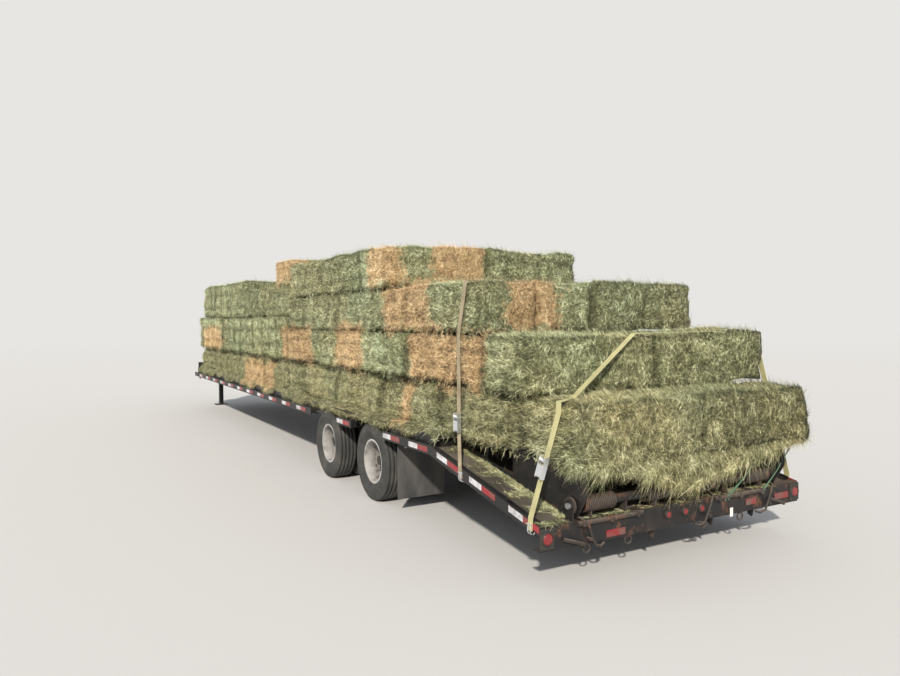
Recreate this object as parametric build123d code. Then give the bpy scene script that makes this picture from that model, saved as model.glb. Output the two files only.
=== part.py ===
"""Hay wagon: a low gooseneck flatbed trailer on four dual wheels, loaded with four layers of hay bales.

Millimetres. +X is forward, +Y the left side, +Z up. Along the trailer, x is measured forward from the
rear face of the bumper, and save() then centres the whole object on X, so its origin is the middle of
its footprint, on the ground.
"""
from build123d import *
from math import cos, pi, sin
import os

os.makedirs("parts", exist_ok=True)

# Overall sizes
half_width = 1295.5            # to the outer face of a rub rail
deck_front = 11580.0
dovetail_length = 1500.0
dovetail_drop = 300.0          # fall of the dovetail over its length
neck_reach = 2650.0            # from the deck's front to the middle of the coupler
neck_top = 1700.0              # set by the height of the towing ball
seat_gap = 0.3                 # clearance of pieces that rest on, or run in, each other

# Deck frame
board_thick = 38.0
board_gap = 4.0
board_count = 14
cross_height = 76.0
cross_width = 38.0
cross_wall = 5.0
cross_pitch = 610.0
beam_height = 254.0
beam_width = 102.0
beam_web = 7.0
beam_flange = 9.0
channel_height = 153.0
channel_width = 38.0
channel_wall = 7.0
rub_rail_thick = 13.0
rub_rail_height = 76.0
rub_rail_drop = 120.0          # from the deck's top to the middle of a rub rail
pocket_depth = 47.5
pocket_ear = 6.0
pocket_inside = 60.0           # clear width for a stake, along the trailer
pocket_height = 90.0

# Running gear
tyre_radius = 380.0
tyre_width = 232.0
axle_positions = {"rear": 2780.0, "front": 4000.0}
tyre_inset = 140.5             # from a rub rail's face to the middle of the outer tyre
dual_spacing = 280.0
bump_room = 50.0               # from the tyres to the top of the deck
axle_tube_radius = 63.5
spindle_radius = 32.0
drum_radius = 165.0
pilot_radius = 60.0            # hub pilot that centres both rims
rim_bead_radius = 203.0
rim_lip_radius = 216.0
rim_half_width = 84.0
disc_thick = 12.0
spring_width = 60.0
spring_thick = 30.0
spring_reach = 530.0           # axle to either eye
eye_rise = 56.0                # from the spring's seat up to its eyes
eye_radius = 18.0
hanger_drop = 9.2              # least gap from the eyes up to the beams
pin_radius = 8.0

# Hay
bale_length = 1170.0
bale_width = 585.0
bale_height = 415.0
bale_gap = 0.5
hay_rear = -180.0              # the lowest layer overhangs the bumper

# Worked out from the sizes above
outer_tyre_y = half_width - tyre_inset
spring_seat = tyre_radius + axle_tube_radius + seat_gap
eye_z = spring_seat + eye_rise
over_tyres = 2 * tyre_radius + bump_room
over_springs = eye_z + eye_radius + hanger_drop + beam_height - beam_flange + board_thick
deck_top = max(over_tyres, over_springs)
rub_rail_centre = deck_top - rub_rail_drop
board_bottom = deck_top - board_thick
channel_web_y = half_width - rub_rail_thick - pocket_depth
boards_half_width = channel_web_y - channel_width - 2.0
board_pitch = 2 * boards_half_width / board_count
beam_y = 3.5 * board_pitch     # each main beam runs under the middle of a board
beam_top = board_bottom + beam_flange
beam_bottom = beam_top - beam_height
dovetail_slope = dovetail_drop / dovetail_length
dual_plane = outer_tyre_y - dual_spacing / 2
inner_tyre_y = outer_tyre_y - dual_spacing
wheels_rear = axle_positions["rear"] - tyre_radius - 40.0
wheels_front = axle_positions["front"] + tyre_radius + 60.0
rocker_x = (axle_positions["rear"] + axle_positions["front"]) / 2
coupler_x = deck_front + neck_reach
coupler_half = 63.5
neck_front = coupler_x + coupler_half
centre_x = (hay_rear + neck_front) / 2


def save(name, *shapes):
    """Write one node: the solids of all shapes given, in the object's own frame."""
    solids = [solid for shape in shapes for solid in shape.solids()]
    export_step(Pos(-centre_x, 0, 0) * Compound(solids), f"parts/{name}.step")


def block(x, y, z):
    """A box from three (low, high) pairs."""
    corner = Pos(x[0], y[0], z[0])
    size = (x[1] - x[0], y[1] - y[0], z[1] - z[0])
    return corner * Box(*size, align=(Align.MIN, Align.MIN, Align.MIN))


def both_sides(*shapes):
    """The shapes as made for the left side, and their mirror images on the right."""
    return [*shapes, *(mirror(shape, about=Plane.XZ) for shape in shapes)]


def run(section, start, end, up=(0, 0, 1)):
    """Extrude a section from start to end, with its own y axis turned up."""
    along = Vector(*end) - Vector(*start)
    side = Vector(*up).cross(along.normalized())
    return extrude(Plane(origin=start, x_dir=side, z_dir=along) * section, amount=along.length)


def side_plate(outline, y, *windows):
    """A plate in the XZ plane between y[0] and y[1], with windows cut from it."""
    face = Polygon(*outline, align=None)
    for window in windows:
        face -= Polygon(*window, align=None)
    plane = Plane(origin=(0, y[0], 0), x_dir=(1, 0, 0), z_dir=(0, -1, 0))
    return extrude(plane * face, amount=-(y[1] - y[0]))


def i_section(height, width, web, flange):
    side_hollow = Rectangle((width - web) / 2, height - 2 * flange)
    shift = (width + web) / 4
    return Rectangle(width, height) - Pos(shift, 0) * side_hollow - Pos(-shift, 0) * side_hollow


def channel_section(height, width, wall):
    """A channel whose web starts at x = 0 and whose flanges point to +x."""
    align = (Align.MIN, Align.CENTER)
    hollow = Pos(wall, 0) * Rectangle(width - wall, height - 2 * wall, align=align)
    return Rectangle(width, height, align=align) - hollow


def dovetail_fall(x):
    """How far the dovetail lies below its front end at x."""
    return (dovetail_length - x) * dovetail_slope


def wheel_turned(profile, y, outwards=1):
    """Revolve an (axial, radius) profile about a wheel's axis through y."""
    face = Plane.XZ * Polygon(*[(radius, outwards * axial) for axial, radius in profile], align=None)
    return Pos(0, y, 0) * Rot(-90, 0, 0) * revolve(face, Axis.Z)


# Main beams, pierced for the cross members that pass right through their webs
first_cross = 42.0             # from the dovetail to the first cross member's rear
flap_cross_x = 2220.0          # the one that carries the mud flaps
cross_xs = [dovetail_length + first_cross, flap_cross_x, wheels_rear + cross_width,
            rocker_x + cross_width / 2]
cross_xs += [wheels_front + cross_pitch * i for i in range(12)]
short_cross_xs = list(axle_positions.values())
cross_z = board_bottom - cross_height / 2
hole_clearance = 1.0


def main_beam():
    section = i_section(beam_height, beam_width, beam_web, beam_flange)
    middle = beam_top - beam_height / 2
    beam = run(section, (dovetail_length, beam_y, middle), (deck_front, beam_y, middle))
    holes = [
        block(
            (x - cross_width - hole_clearance, x + hole_clearance),
            (beam_y - beam_web, beam_y + beam_web),
            (board_bottom - cross_height - hole_clearance, board_bottom),
        )
        for x in cross_xs + short_cross_xs
    ]
    return beam - holes


save("main_beams", *both_sides(main_beam()))

# Cross members: full width where the deck is, short ones between the wheels, three under the dovetail
cross_section = channel_section(cross_height, cross_width, cross_wall)
short_half = beam_y + beam_width / 2
cross_end = channel_web_y - channel_wall
crossmembers = [run(cross_section, (x, -cross_end, cross_z), (x, cross_end, cross_z)) for x in cross_xs]
for x in short_cross_xs:
    crossmembers.append(run(cross_section, (x, -short_half, cross_z), (x, short_half, cross_z)))

dovetail_floor_drop = 105.0    # from the deck's top to the dovetail's boards, at their front end
dovetail_floor_top = deck_top - dovetail_floor_drop
dovetail_cross_xs = (1300.0, 880.0, 460.0)
dovetail_cross_top = dovetail_floor_top - board_thick
dovetail_cross_gap = 6.0       # from the boards down to the cross members
for x in dovetail_cross_xs:
    z = dovetail_cross_top - dovetail_fall(x - cross_width / 2) - cross_height / 2 - dovetail_cross_gap
    crossmembers.append(run(cross_section, (x, -cross_end, z), (x, cross_end, z)))
save("crossmembers", *crossmembers)

# Side channels, rub rails and the stake pockets between them
end_channel_width = 50.0
rail_spans = ((dovetail_length, wheels_rear), (wheels_front, deck_front))
channel_spans = (rail_spans[0], (wheels_front, deck_front - end_channel_width))
middle_half = 190.0            # half the length of the side member between the wheels
middle_span = (rocker_x - middle_half, rocker_x + middle_half)
cover_thick = 8.0
cover_edge = half_width - rub_rail_thick - 0.5
side_section = channel_section(channel_height, channel_width, channel_wall)
side_z = deck_top - channel_height / 2
side_channels = []
for x0, x1 in channel_spans:
    side_channels.append(run(side_section, (x0, -channel_web_y, side_z), (x1, -channel_web_y, side_z)))
short_height = channel_height - cover_thick
short_section = channel_section(short_height, channel_width, channel_wall)
short_z = deck_top - cover_thick - short_height / 2
side_channels.append(run(short_section, (middle_span[0], -channel_web_y, short_z),
                         (middle_span[1], -channel_web_y, short_z)))

bumper_depth = 80.0
tail_rail_drop = 90.0          # from the deck's top to the dovetail's side member, at its front end
tail_rail_height = 120.0
tail_rail_top = deck_top - tail_rail_drop


def sloped_outline(top, bottom, x0=bumper_depth, x1=dovetail_length):
    """The outline of a member that follows the dovetail's slope between x0 and x1."""
    ends = [(x0, dovetail_fall(x0)), (x1, dovetail_fall(x1))]
    lower = [(x, bottom - fall) for x, fall in ends]
    upper = [(x, top - fall) for x, fall in reversed(ends)]
    return lower + upper


side_channels.append(side_plate(sloped_outline(tail_rail_top, tail_rail_top - tail_rail_height),
                                (-channel_web_y, -channel_web_y + channel_wall)))
save("side_channels", *both_sides(*side_channels))

rail_top = rub_rail_centre + rub_rail_height / 2
rail_bottom = rub_rail_centre - rub_rail_height / 2
rail_y = (half_width - rub_rail_thick, half_width)
rail_lap = 60.0                # the rear rub rail ends this far over the wheels
rear_rail_end = wheels_rear + rail_lap
rear_rail_outline = [
    (bumper_depth, rail_bottom - dovetail_fall(bumper_depth)),
    (dovetail_length, rail_bottom),
    (rear_rail_end, rail_bottom),
    (rear_rail_end, rail_top),
    (dovetail_length, rail_top),
    (bumper_depth, rail_top - dovetail_fall(bumper_depth)),
]
rub_rails = [side_plate(rear_rail_outline, rail_y)]
for x0, x1 in (middle_span, rail_spans[1]):
    rub_rails.append(block((x0, x1), rail_y, (rail_bottom, rail_top)))
save("rub_rails", *both_sides(*rub_rails))

rear_pocket_x = 2070.0
pocket_xs = [rear_pocket_x] + [wheels_front + cross_pitch / 3 + cross_pitch * i for i in range(12)]
pocket_z = (rub_rail_centre - pocket_height / 2, rub_rail_centre + pocket_height / 2)
pocket_y = (channel_web_y, half_width - rub_rail_thick)
ears = []
for x in pocket_xs:
    for side in (-1, 1):
        ear_x = x + side * (pocket_inside + pocket_ear) / 2
        ears.append(block((ear_x - pocket_ear / 2, ear_x + pocket_ear / 2), pocket_y, pocket_z))
spacer_half = 20.0             # spacers carry the rub rails where no stake goes
spacer_short = 10.0
tail_spacer_xs = (450.0, 1125.0)
middle_spacer_inset = 40.0
for x in tail_spacer_xs:
    fall = dovetail_fall(x)
    ears.append(block((x - spacer_half, x + spacer_half), pocket_y,
                      (rail_bottom - fall + spacer_short, rail_top - fall - spacer_short)))
for x in (middle_span[0] + middle_spacer_inset, middle_span[1] - middle_spacer_inset):
    ears.append(block((x - spacer_half, x + spacer_half), pocket_y, (rail_bottom, rail_top)))
save("stake_pockets", *both_sides(*ears))

# Deck boards, rebated over the beams' top flanges; the outer ones stop short of the wheels
deck_board_end = deck_front - end_channel_width
flanges = both_sides(block((dovetail_length, deck_front), (beam_y - beam_width / 2, beam_y + beam_width / 2),
                           (board_bottom - 1.0, beam_top)))
boards = []
for i in range(board_count):
    y0 = -boards_half_width + board_pitch * i + board_gap / 2
    y1 = y0 + board_pitch - board_gap
    over_wheels = min(abs(y0), abs(y1)) > beam_y
    if over_wheels:
        spans = ((dovetail_length, wheels_rear), (wheels_front, deck_board_end))
    else:
        spans = ((dovetail_length, deck_board_end),)
    over_beam = y0 < beam_y < y1 or y0 < -beam_y < y1
    for span in spans:
        board = block(span, (y0, y1), (board_bottom, deck_top))
        boards.append(board - flanges if over_beam else board)
save("deck_boards", *boards)

front_channel = run(channel_section(channel_height, end_channel_width, channel_wall),
                    (deck_front, -channel_web_y, side_z), (deck_front, channel_web_y, side_z))
front_rail_height = 110.0
front_stop = block((deck_front - end_channel_width, deck_front), (-cross_end, cross_end),
                   (deck_top, deck_top + channel_wall))
front_stop += block((deck_front - channel_wall, deck_front), (-cross_end, cross_end),
                    (deck_top, deck_top + front_rail_height))
beam_notches = both_sides(block((deck_front - end_channel_width - 1, deck_front + 1),
                                (beam_y - beam_width / 2, beam_y + beam_width / 2),
                                (beam_bottom, beam_top)))
save("front_rail", (front_channel - beam_notches) + front_stop)

# Cover plates over the tyres, on folded edges that rest on the cross members
cover_inner = beam_y + board_pitch / 2 + 5.0
cover_fold = board_bottom


def wheel_cover():
    cover = block((wheels_rear, wheels_front), (cover_inner, cover_edge), (deck_top - cover_thick, deck_top))
    folds = [wheels_rear, rocker_x - cover_thick / 2, wheels_front - cover_thick]
    for x in folds:
        cover += block((x, x + cover_thick), (cover_inner, channel_web_y - channel_width),
                       (cover_fold, deck_top))
    return cover


save("wheel_covers", *both_sides(wheel_cover()))

# Dovetail: two tapered plate beams notched for the cross members, and the sloping floor
dovetail_web = 12.0
tail_beam_depth_rear = 90.0


def dovetail_beam():
    top_front = dovetail_cross_top
    top_rear = dovetail_cross_top - dovetail_fall(bumper_depth)
    outline = [
        (bumper_depth, top_rear - tail_beam_depth_rear),
        (dovetail_length, beam_bottom),
        (dovetail_length, top_front),
        (bumper_depth, top_rear),
    ]
    foot = [
        (bumper_depth, top_rear - tail_beam_depth_rear),
        (dovetail_length, beam_bottom),
        (dovetail_length, beam_bottom + beam_flange),
        (bumper_depth, top_rear - tail_beam_depth_rear + beam_flange),
    ]
    beam = side_plate(outline, (beam_y - dovetail_web / 2, beam_y + dovetail_web / 2))
    beam += side_plate(foot, (beam_y - beam_width / 2, beam_y + beam_width / 2))
    for x in dovetail_cross_xs:
        cross_low = dovetail_cross_top - dovetail_fall(x - cross_width / 2) - dovetail_cross_gap
        low = cross_low - cross_height - hole_clearance
        beam -= block((x - cross_width - hole_clearance, x + hole_clearance),
                      (beam_y - beam_width, beam_y + beam_width), (low, deck_top))
    return beam


save("dovetail_beams", *both_sides(dovetail_beam()))

floor_outline = sloped_outline(dovetail_floor_top, dovetail_floor_top - board_thick)
floor_half = channel_web_y - channel_wall - 1.0
floor_pitch = 2 * floor_half / board_count
floor_boards = []
for i in range(board_count):
    y0 = -floor_half + floor_pitch * i + board_gap / 2
    floor_boards.append(side_plate(floor_outline, (y0, y0 + floor_pitch - board_gap)))
save("dovetail_floor", *floor_boards)

# Rear bumper: a channel lying on its side, with a lamp plate at each end and feet below
bumper_height = 161.0
bumper_wall = 8.0
bumper_top = dovetail_floor_top - dovetail_fall(bumper_depth)
bumper_bottom = bumper_top - bumper_height
bumper_z = (bumper_bottom + bumper_top) / 2
bumper_section = mirror(channel_section(bumper_height, bumper_depth, bumper_wall), about=Plane.YZ)
bumper = run(bumper_section, (0, -half_width, bumper_z), (0, half_width, bumper_z))
skid_ys = (300.0, 760.0)       # skids that keep the bumper off the ground on a steep drive
skid_xs = (10.0, 70.0)
skid_tip_xs = (25.0, 60.0)
skid_drops = (60.0, 45.0)
skid_half = 6.0
skid_outline = [(skid_xs[0], bumper_bottom), (skid_xs[1], bumper_bottom),
                (skid_tip_xs[1], bumper_bottom - skid_drops[1]),
                (skid_tip_xs[0], bumper_bottom - skid_drops[0])]
for y in skid_ys:
    for side in (-1, 1):
        bumper += side_plate(skid_outline, (side * y - skid_half, side * y + skid_half))
save("rear_bumper", bumper)

lamp_y = half_width - 52.0
lamp_z = bumper_bottom + 85.0
lamp_radius = 38.0
lamp_thick = 16.0
middle_lamp_ys = (-170.0, 0.0, 170.0)
middle_lamp_rise = 10.0
middle_lamp_radius = 22.0
lamps = []


def lamp(y, z, radius):
    """A round lamp on the bumper's rear face."""
    return Pos(-lamp_thick / 2, y, z) * Rot(0, 90, 0) * Cylinder(radius, lamp_thick)


for y in (lamp_y, -lamp_y):
    lamps.append(lamp(y, lamp_z, lamp_radius))
for y in middle_lamp_ys:
    lamps.append(lamp(y, lamp_z + middle_lamp_rise, middle_lamp_radius))
save("tail_lights", *lamps)

# Mud flaps behind the rear wheels, each on a hanger plate under a cross member
flap_thick = 8.0
flap_x = cross_xs[1] - cross_width / 2
flap_y = (inner_tyre_y - 105.0, outer_tyre_y + 95.0)
flap_overlap = 60.0
flap_drop = 76.0               # from the cross members down to the flaps
flap_off_ground = 130.0
cross_bottom = board_bottom - cross_height
flap_z = (flap_off_ground, cross_bottom - flap_drop)
hanger_y = (flap_y[0], channel_web_y - channel_width - 2.0)
hanger = block((flap_x, flap_x + flap_thick), hanger_y, (flap_z[1] - flap_overlap, cross_bottom))
flap = block((flap_x - flap_thick, flap_x), flap_y, flap_z)
save("mud_flap_hangers", *both_sides(hanger))
save("mud_flaps", *both_sides(flap))

# Axles: tube, brake backing plates and spindles in one turned piece
backing_y = inner_tyre_y - 85.0
spindle_end = dual_plane + 50.0
backing_thick = 8.0
backing_radius = drum_radius - 12.0
axle_half = [
    (0, 0), (0, axle_tube_radius), (backing_y, axle_tube_radius),
    (backing_y, backing_radius), (backing_y + backing_thick, backing_radius),
    (backing_y + backing_thick, spindle_radius), (spindle_end, spindle_radius), (spindle_end, 0),
]
axle_profile = axle_half[1:] + [(-a, r) for a, r in reversed(axle_half[1:])]


def axle(x):
    return Pos(x, 0, tyre_radius) * wheel_turned(axle_profile, 0)


save("axles", *(axle(x) for x in axle_positions.values()))

# Leaf springs on the axle tubes, their eyes on pins in the hangers and in the rockers between them
spring_rise = eye_z - spring_thick / 2 - spring_seat
leaf_end_thick = 10.0


def leaf_spring(x):
    lower = ThreePointArc((-spring_reach, spring_rise), (0, 0), (spring_reach, spring_rise))
    tip = spring_rise + leaf_end_thick
    upper = ThreePointArc((-spring_reach, tip), (0, spring_thick), (spring_reach, tip))
    ends = [Line(lower @ 0, upper @ 0), Line(lower @ 1, upper @ 1)]
    plane = Plane(origin=(x, beam_y + spring_width / 2, spring_seat), x_dir=(1, 0, 0), z_dir=(0, -1, 0))
    leaves = extrude(plane * make_face([lower, upper, *ends]), amount=spring_width)
    for side in (-1, 1):
        centre = Pos(x + side * spring_reach, beam_y, eye_z) * Rot(90, 0, 0)
        leaves += centre * Cylinder(eye_radius, spring_width)
    for side in (-1, 1):
        centre = Pos(x + side * spring_reach, beam_y, eye_z) * Rot(90, 0, 0)
        leaves -= centre * Cylinder(pin_radius + seat_gap, spring_width + 2)
    return leaves


save("leaf_springs", *both_sides(*(leaf_spring(x) for x in axle_positions.values())))

plate_thick = 8.0
rocker_gap = 1.0
plate_margin = 4.0             # of a plate round an eye
hanger_half = 40.0
centre_half = 45.0
rocker_lap = 26.0
centre_pin_radius = 11.0


def link_plate(x0, x1, top, y_inner):
    """A pair of plates, one each side of the spring, from x0 to x1 and from under the eyes up to top."""
    low = eye_z - eye_radius - plate_margin
    pair = [block((x0, x1), (beam_y + y_inner, beam_y + y_inner + plate_thick), (low, top))]
    pair.append(block((x0, x1), (beam_y - y_inner - plate_thick, beam_y - y_inner), (low, top)))
    return pair


def cross_pin(x, half_length, radius=pin_radius):
    return Pos(x, beam_y, eye_z) * Rot(90, 0, 0) * Cylinder(radius, 2 * half_length)


rocker_inner = spring_width / 2 + rocker_gap
hanger_inner = rocker_inner + plate_thick + rocker_gap
outer_eyes = (axle_positions["front"] + spring_reach, axle_positions["rear"] - spring_reach)
hangers = []
for x in outer_eyes:
    plates = link_plate(x - hanger_half, x + hanger_half, beam_bottom, rocker_inner)
    hangers.append(cross_pin(x, rocker_inner + plate_thick) + plates)
centre_plates = link_plate(rocker_x - centre_half, rocker_x + centre_half, beam_bottom, hanger_inner)
hangers.append(cross_pin(rocker_x, hanger_inner + plate_thick, centre_pin_radius) + centre_plates)
save("spring_hangers", *both_sides(*hangers))

inner_eyes = (axle_positions["front"] - spring_reach, axle_positions["rear"] + spring_reach)
rocker_plates = link_plate(inner_eyes[1] - rocker_lap, inner_eyes[0] + rocker_lap,
                           eye_z + eye_radius + plate_margin, rocker_inner)
rocker = cross_pin(inner_eyes[0], rocker_inner + plate_thick) + rocker_plates
rocker += cross_pin(inner_eyes[1], rocker_inner + plate_thick)
rocker -= cross_pin(rocker_x, hanger_inner + plate_thick, centre_pin_radius + seat_gap)
save("spring_rockers", *both_sides(rocker))

# Wheels: outwards is +1 on the left side. Each body has two tyres, two dished rims and one hub with its drum
half_tyre = tyre_width / 2
lip_base = rim_half_width - 6.0    # a lip's foot on the bead seat
bead_gap = 0.5
shoulder_taper = 14.0


def tyre_ring(y):
    """A tyre turned about the wheel's axis: bead seat, sidewalls, shoulders and tread."""
    half = [
        (lip_base - bead_gap, rim_bead_radius + bead_gap), (rim_half_width, rim_lip_radius + 2 * bead_gap),
        (half_tyre, (rim_lip_radius + tyre_radius) / 2), (half_tyre - shoulder_taper, tyre_radius),
    ]
    return wheel_turned(half + [(-a, r) for a, r in reversed(half)], y)


rim_wall = 6.0
rim_inner = rim_bead_radius - rim_wall
face_depth = dual_spacing / 2 - seat_gap          # rim centre to the disc's mounting face
disc_edge = 124.0
dish_start = 52.0
rim_profile = [
    # (axial, radius): lips and bead seat, then the dish down to the disc and back
    (rim_half_width, rim_inner), (rim_half_width, rim_lip_radius), (lip_base, rim_bead_radius),
    (-lip_base, rim_bead_radius), (-rim_half_width, rim_lip_radius), (-rim_half_width, rim_inner),
    (-dish_start, rim_inner), (-face_depth, disc_edge), (-face_depth, pilot_radius + seat_gap),
    (-face_depth + disc_thick, pilot_radius + seat_gap), (-face_depth + disc_thick, disc_edge - 4.0),
    (-dish_start + 1.3 * disc_thick, rim_inner),
]
hand_hole_radius = 22.0
hand_hole_circle = 158.0
hand_hole_count = 4


def rim(y, outwards):
    """A dished steel rim, its dish pierced by hand holes."""
    body = wheel_turned(rim_profile, y, outwards)
    for i in range(hand_hole_count):
        angle = 2 * pi * i / hand_hole_count
        spot = (hand_hole_circle * cos(angle), y, hand_hole_circle * sin(angle))
        section = Plane(origin=spot, x_dir=(cos(angle), 0, sin(angle)), z_dir=(0, -outwards, 0))
        body -= extrude(section * RegularPolygon(hand_hole_radius, 6), amount=face_depth + 1)
    return body


flange_face = dual_plane - seat_gap - disc_thick - seat_gap
flange_radius = 112.0
drum_wall = 10.0
drum_inner_y = backing_y + backing_thick + 6.0
drum_outer_y = inner_tyre_y + 30.0
bore_radius = spindle_radius + seat_gap
barrel_wall = 24.0             # of the hub round its spindle
barrel_start = backing_y + 34.0
pilot_reach = 22.0             # of the pilot past the rims' discs
cap_end = outer_tyre_y + 22.0
cap_radius = 44.0
hub_profile = [
    # (y, radius): drum, flange, pilot and cap outside, then the spindle's bore and the drum inside
    (drum_inner_y, drum_radius - drum_wall), (drum_inner_y, drum_radius), (drum_outer_y, drum_radius),
    (flange_face, flange_radius), (flange_face, pilot_radius), (dual_plane + pilot_reach, pilot_radius),
    (dual_plane + pilot_reach + 4, cap_radius + 4), (cap_end, cap_radius), (cap_end, 0),
    (spindle_end + 4, 0), (spindle_end + 4, bore_radius), (barrel_start, bore_radius),
    (barrel_start, bore_radius + barrel_wall), (drum_outer_y - drum_wall, bore_radius + barrel_wall + 6),
    (drum_outer_y - drum_wall, drum_radius - drum_wall),
]


def hub(side):
    face = Plane.XZ * Polygon(*[(radius, side * y) for y, radius in hub_profile], align=None)
    return Rot(-90, 0, 0) * revolve(face, Axis.Z)


for end, x in axle_positions.items():
    place = Pos(x, 0, tyre_radius)
    for name, side in (("left", 1), ("right", -1)):
        tyres = [place * tyre_ring(side * y) for y in (outer_tyre_y, inner_tyre_y)]
        rims = [place * rim(side * outer_tyre_y, side), place * rim(side * inner_tyre_y, -side)]
        save(f"tyres_{end}_{name}", *tyres)
        save(f"rims_{end}_{name}", *rims)
        save(f"hub_{end}_{name}", place * hub(side))

# Neck: risers on the ends of the main beams, and two beams that close in on the coupler
riser_depth = 254.0
neck_height = 254.0
neck_bottom = neck_top - neck_height
riser_front = deck_front + riser_depth
riser_section = i_section(riser_depth, beam_width, beam_web, beam_flange)
riser_x = deck_front + riser_depth / 2
riser_foot = Plane(origin=(riser_x, beam_y, beam_bottom), x_dir=(0, 1, 0), z_dir=(0, 0, 1))
riser = extrude(riser_foot * riser_section, amount=neck_top - beam_bottom)
save("neck_risers", *both_sides(riser))

head_y = coupler_half + beam_width / 2 + 4.0
neck_section = i_section(neck_height, beam_width, beam_web, beam_flange)
neck_z = neck_top - neck_height / 2


def neck_beam():
    """An I beam along the slanting line from riser to coupler, its ends cut square to the trailer."""
    turn = (head_y - beam_y) / (coupler_x - riser_front)
    start = (riser_front - 60, beam_y - 60 * turn, neck_z)
    end = (neck_front + 60, head_y + (60 + coupler_half) * turn, neck_z)
    beam = run(neck_section, start, end)
    return beam & block((riser_front, coupler_x - coupler_half), (0, half_width), (neck_bottom, neck_top))


neck_pair = both_sides(neck_beam())
save("neck_beams", *neck_pair)

neck_cross_height = 50.0
neck_cross_wall = 5.0
neck_cross_xs = (riser_front + 60.0, riser_front + 500.0)
neck_crosses = []
for x in neck_cross_xs:
    half = beam_y - (x - riser_front) / (coupler_x - riser_front) * (beam_y - head_y) + beam_width / 2
    section = channel_section(neck_cross_height, neck_cross_height, neck_cross_wall)
    z = neck_bottom - neck_cross_height / 2
    neck_crosses.append(run(section, (x, -half, z), (x, half, z)))
save("neck_crossmembers", *neck_crosses)

# Coupler: an outer tube in the neck's head, an inner tube below it and the ball socket
ball_radius = 29.7             # socket for a 58.7 mm ball
socket_bottom = 1090.0
socket_depth = 50.0
socket_radius = 62.0
socket_height = 120.0
inner_tube_radius = 51.5
inner_tube_lap = 20.0              # of the inner tube into the socket and the outer tube
outer_tube_bottom = socket_bottom + 240.0
head_top = neck_top + 20.0
latch_x = (-120.0, 60.0)           # the latch plate, from the coupler's middle
latch_reach = 80.0
latch_thick = 12.0
latch_rise = 20.0
latch_lap = 10.0


def coupler():
    head_half = head_y + beam_width / 2
    align = (Align.CENTER, Align.CENTER, Align.MIN)
    head = block((coupler_x - coupler_half, neck_front), (-head_half, head_half), (neck_bottom, neck_top))
    outer_height = head_top - outer_tube_bottom
    head += Pos(coupler_x, 0, outer_tube_bottom) * Cylinder(coupler_half, outer_height, align=align)
    inner_bottom = socket_bottom + socket_height - inner_tube_lap
    inner_height = outer_tube_bottom + inner_tube_lap - inner_bottom
    head += Pos(coupler_x, 0, inner_bottom) * Cylinder(inner_tube_radius, inner_height, align=align)
    head += Pos(coupler_x, 0, socket_bottom) * Cylinder(socket_radius, socket_height, align=align)
    latch_z = socket_bottom + latch_rise
    head += block((coupler_x + latch_x[0], coupler_x + latch_x[1]),
                  (-latch_reach, -socket_radius + latch_lap), (latch_z, latch_z + latch_thick))
    head -= Pos(coupler_x, 0, socket_bottom) * Cylinder(ball_radius, socket_depth, align=align)
    head -= Pos(coupler_x, 0, socket_bottom + socket_depth) * Sphere(ball_radius)
    return head


save("coupler", coupler())

# Tool box between the neck beams, and its lid on a knuckled hinge along the rear edge
box_wall = 3.0
box_half = 415.0
box_x = (riser_front + 26.0, riser_front + 520.0)
box_below_neck = 8.0
box_z = (neck_bottom, neck_top - box_below_neck)
lid_wall = 3.0
lid_skirt = 24.0
lid_overhang = 6.0
knuckle_radius = 7.0
knuckle_length = 60.0
knuckle_gap = 0.5
knuckle_pin = 3.0
knuckle_out = 9.0
knuckle_x = box_x[0] - knuckle_out
lid_z = (box_z[1] + seat_gap, box_z[1] + seat_gap + lid_wall)
knuckle_z = (lid_z[0] + lid_z[1]) / 2
lid_hinge_ys = (-300.0, 300.0)


def knuckle(y, radius, length):
    return Pos(knuckle_x, y, knuckle_z) * Rot(90, 0, 0) * Cylinder(radius, length)


def open_box():
    """The box, with a fixed knuckle and its pin at each hinge."""
    box = block(box_x, (-box_half, box_half), box_z)
    box -= block((box_x[0] + box_wall, box_x[1] - box_wall), (-box_half + box_wall, box_half - box_wall),
                 (box_z[0] + box_wall, box_z[1] + 1))
    half = knuckle_length / 2
    for y in lid_hinge_ys:
        box += block((knuckle_x, box_x[0]), (y - half, y + half), (knuckle_z - knuckle_radius, box_z[1]))
        box += knuckle(y, knuckle_radius, knuckle_length)
        box += knuckle(y + half, knuckle_pin, 2 * knuckle_length)
    return box


def box_lid():
    """The lid, notched round the fixed knuckles, with a knuckle of its own on each pin."""
    lid_x = (knuckle_x, box_x[1] + lid_overhang + lid_wall)
    width = (-box_half - lid_overhang, box_half + lid_overhang)
    lid = block(lid_x, width, lid_z)
    lid += block((lid_x[1] - lid_wall, lid_x[1]), width, (lid_z[0] - lid_skirt, lid_z[1]))
    for y in lid_hinge_ys:
        pitch = knuckle_length + knuckle_gap
        notch = block((knuckle_x - 1, box_x[0] + 2), (y - knuckle_length / 2 - knuckle_gap, y + pitch),
                      (lid_z[0] - 1, lid_z[1] + 1))
        lid = lid - notch + knuckle(y + pitch, knuckle_radius, knuckle_length)
        lid -= knuckle(y + pitch, knuckle_pin + seat_gap, 2 * knuckle_length)
    return lid


save("toolbox", open_box())
save("toolbox_lid", box_lid())

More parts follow.
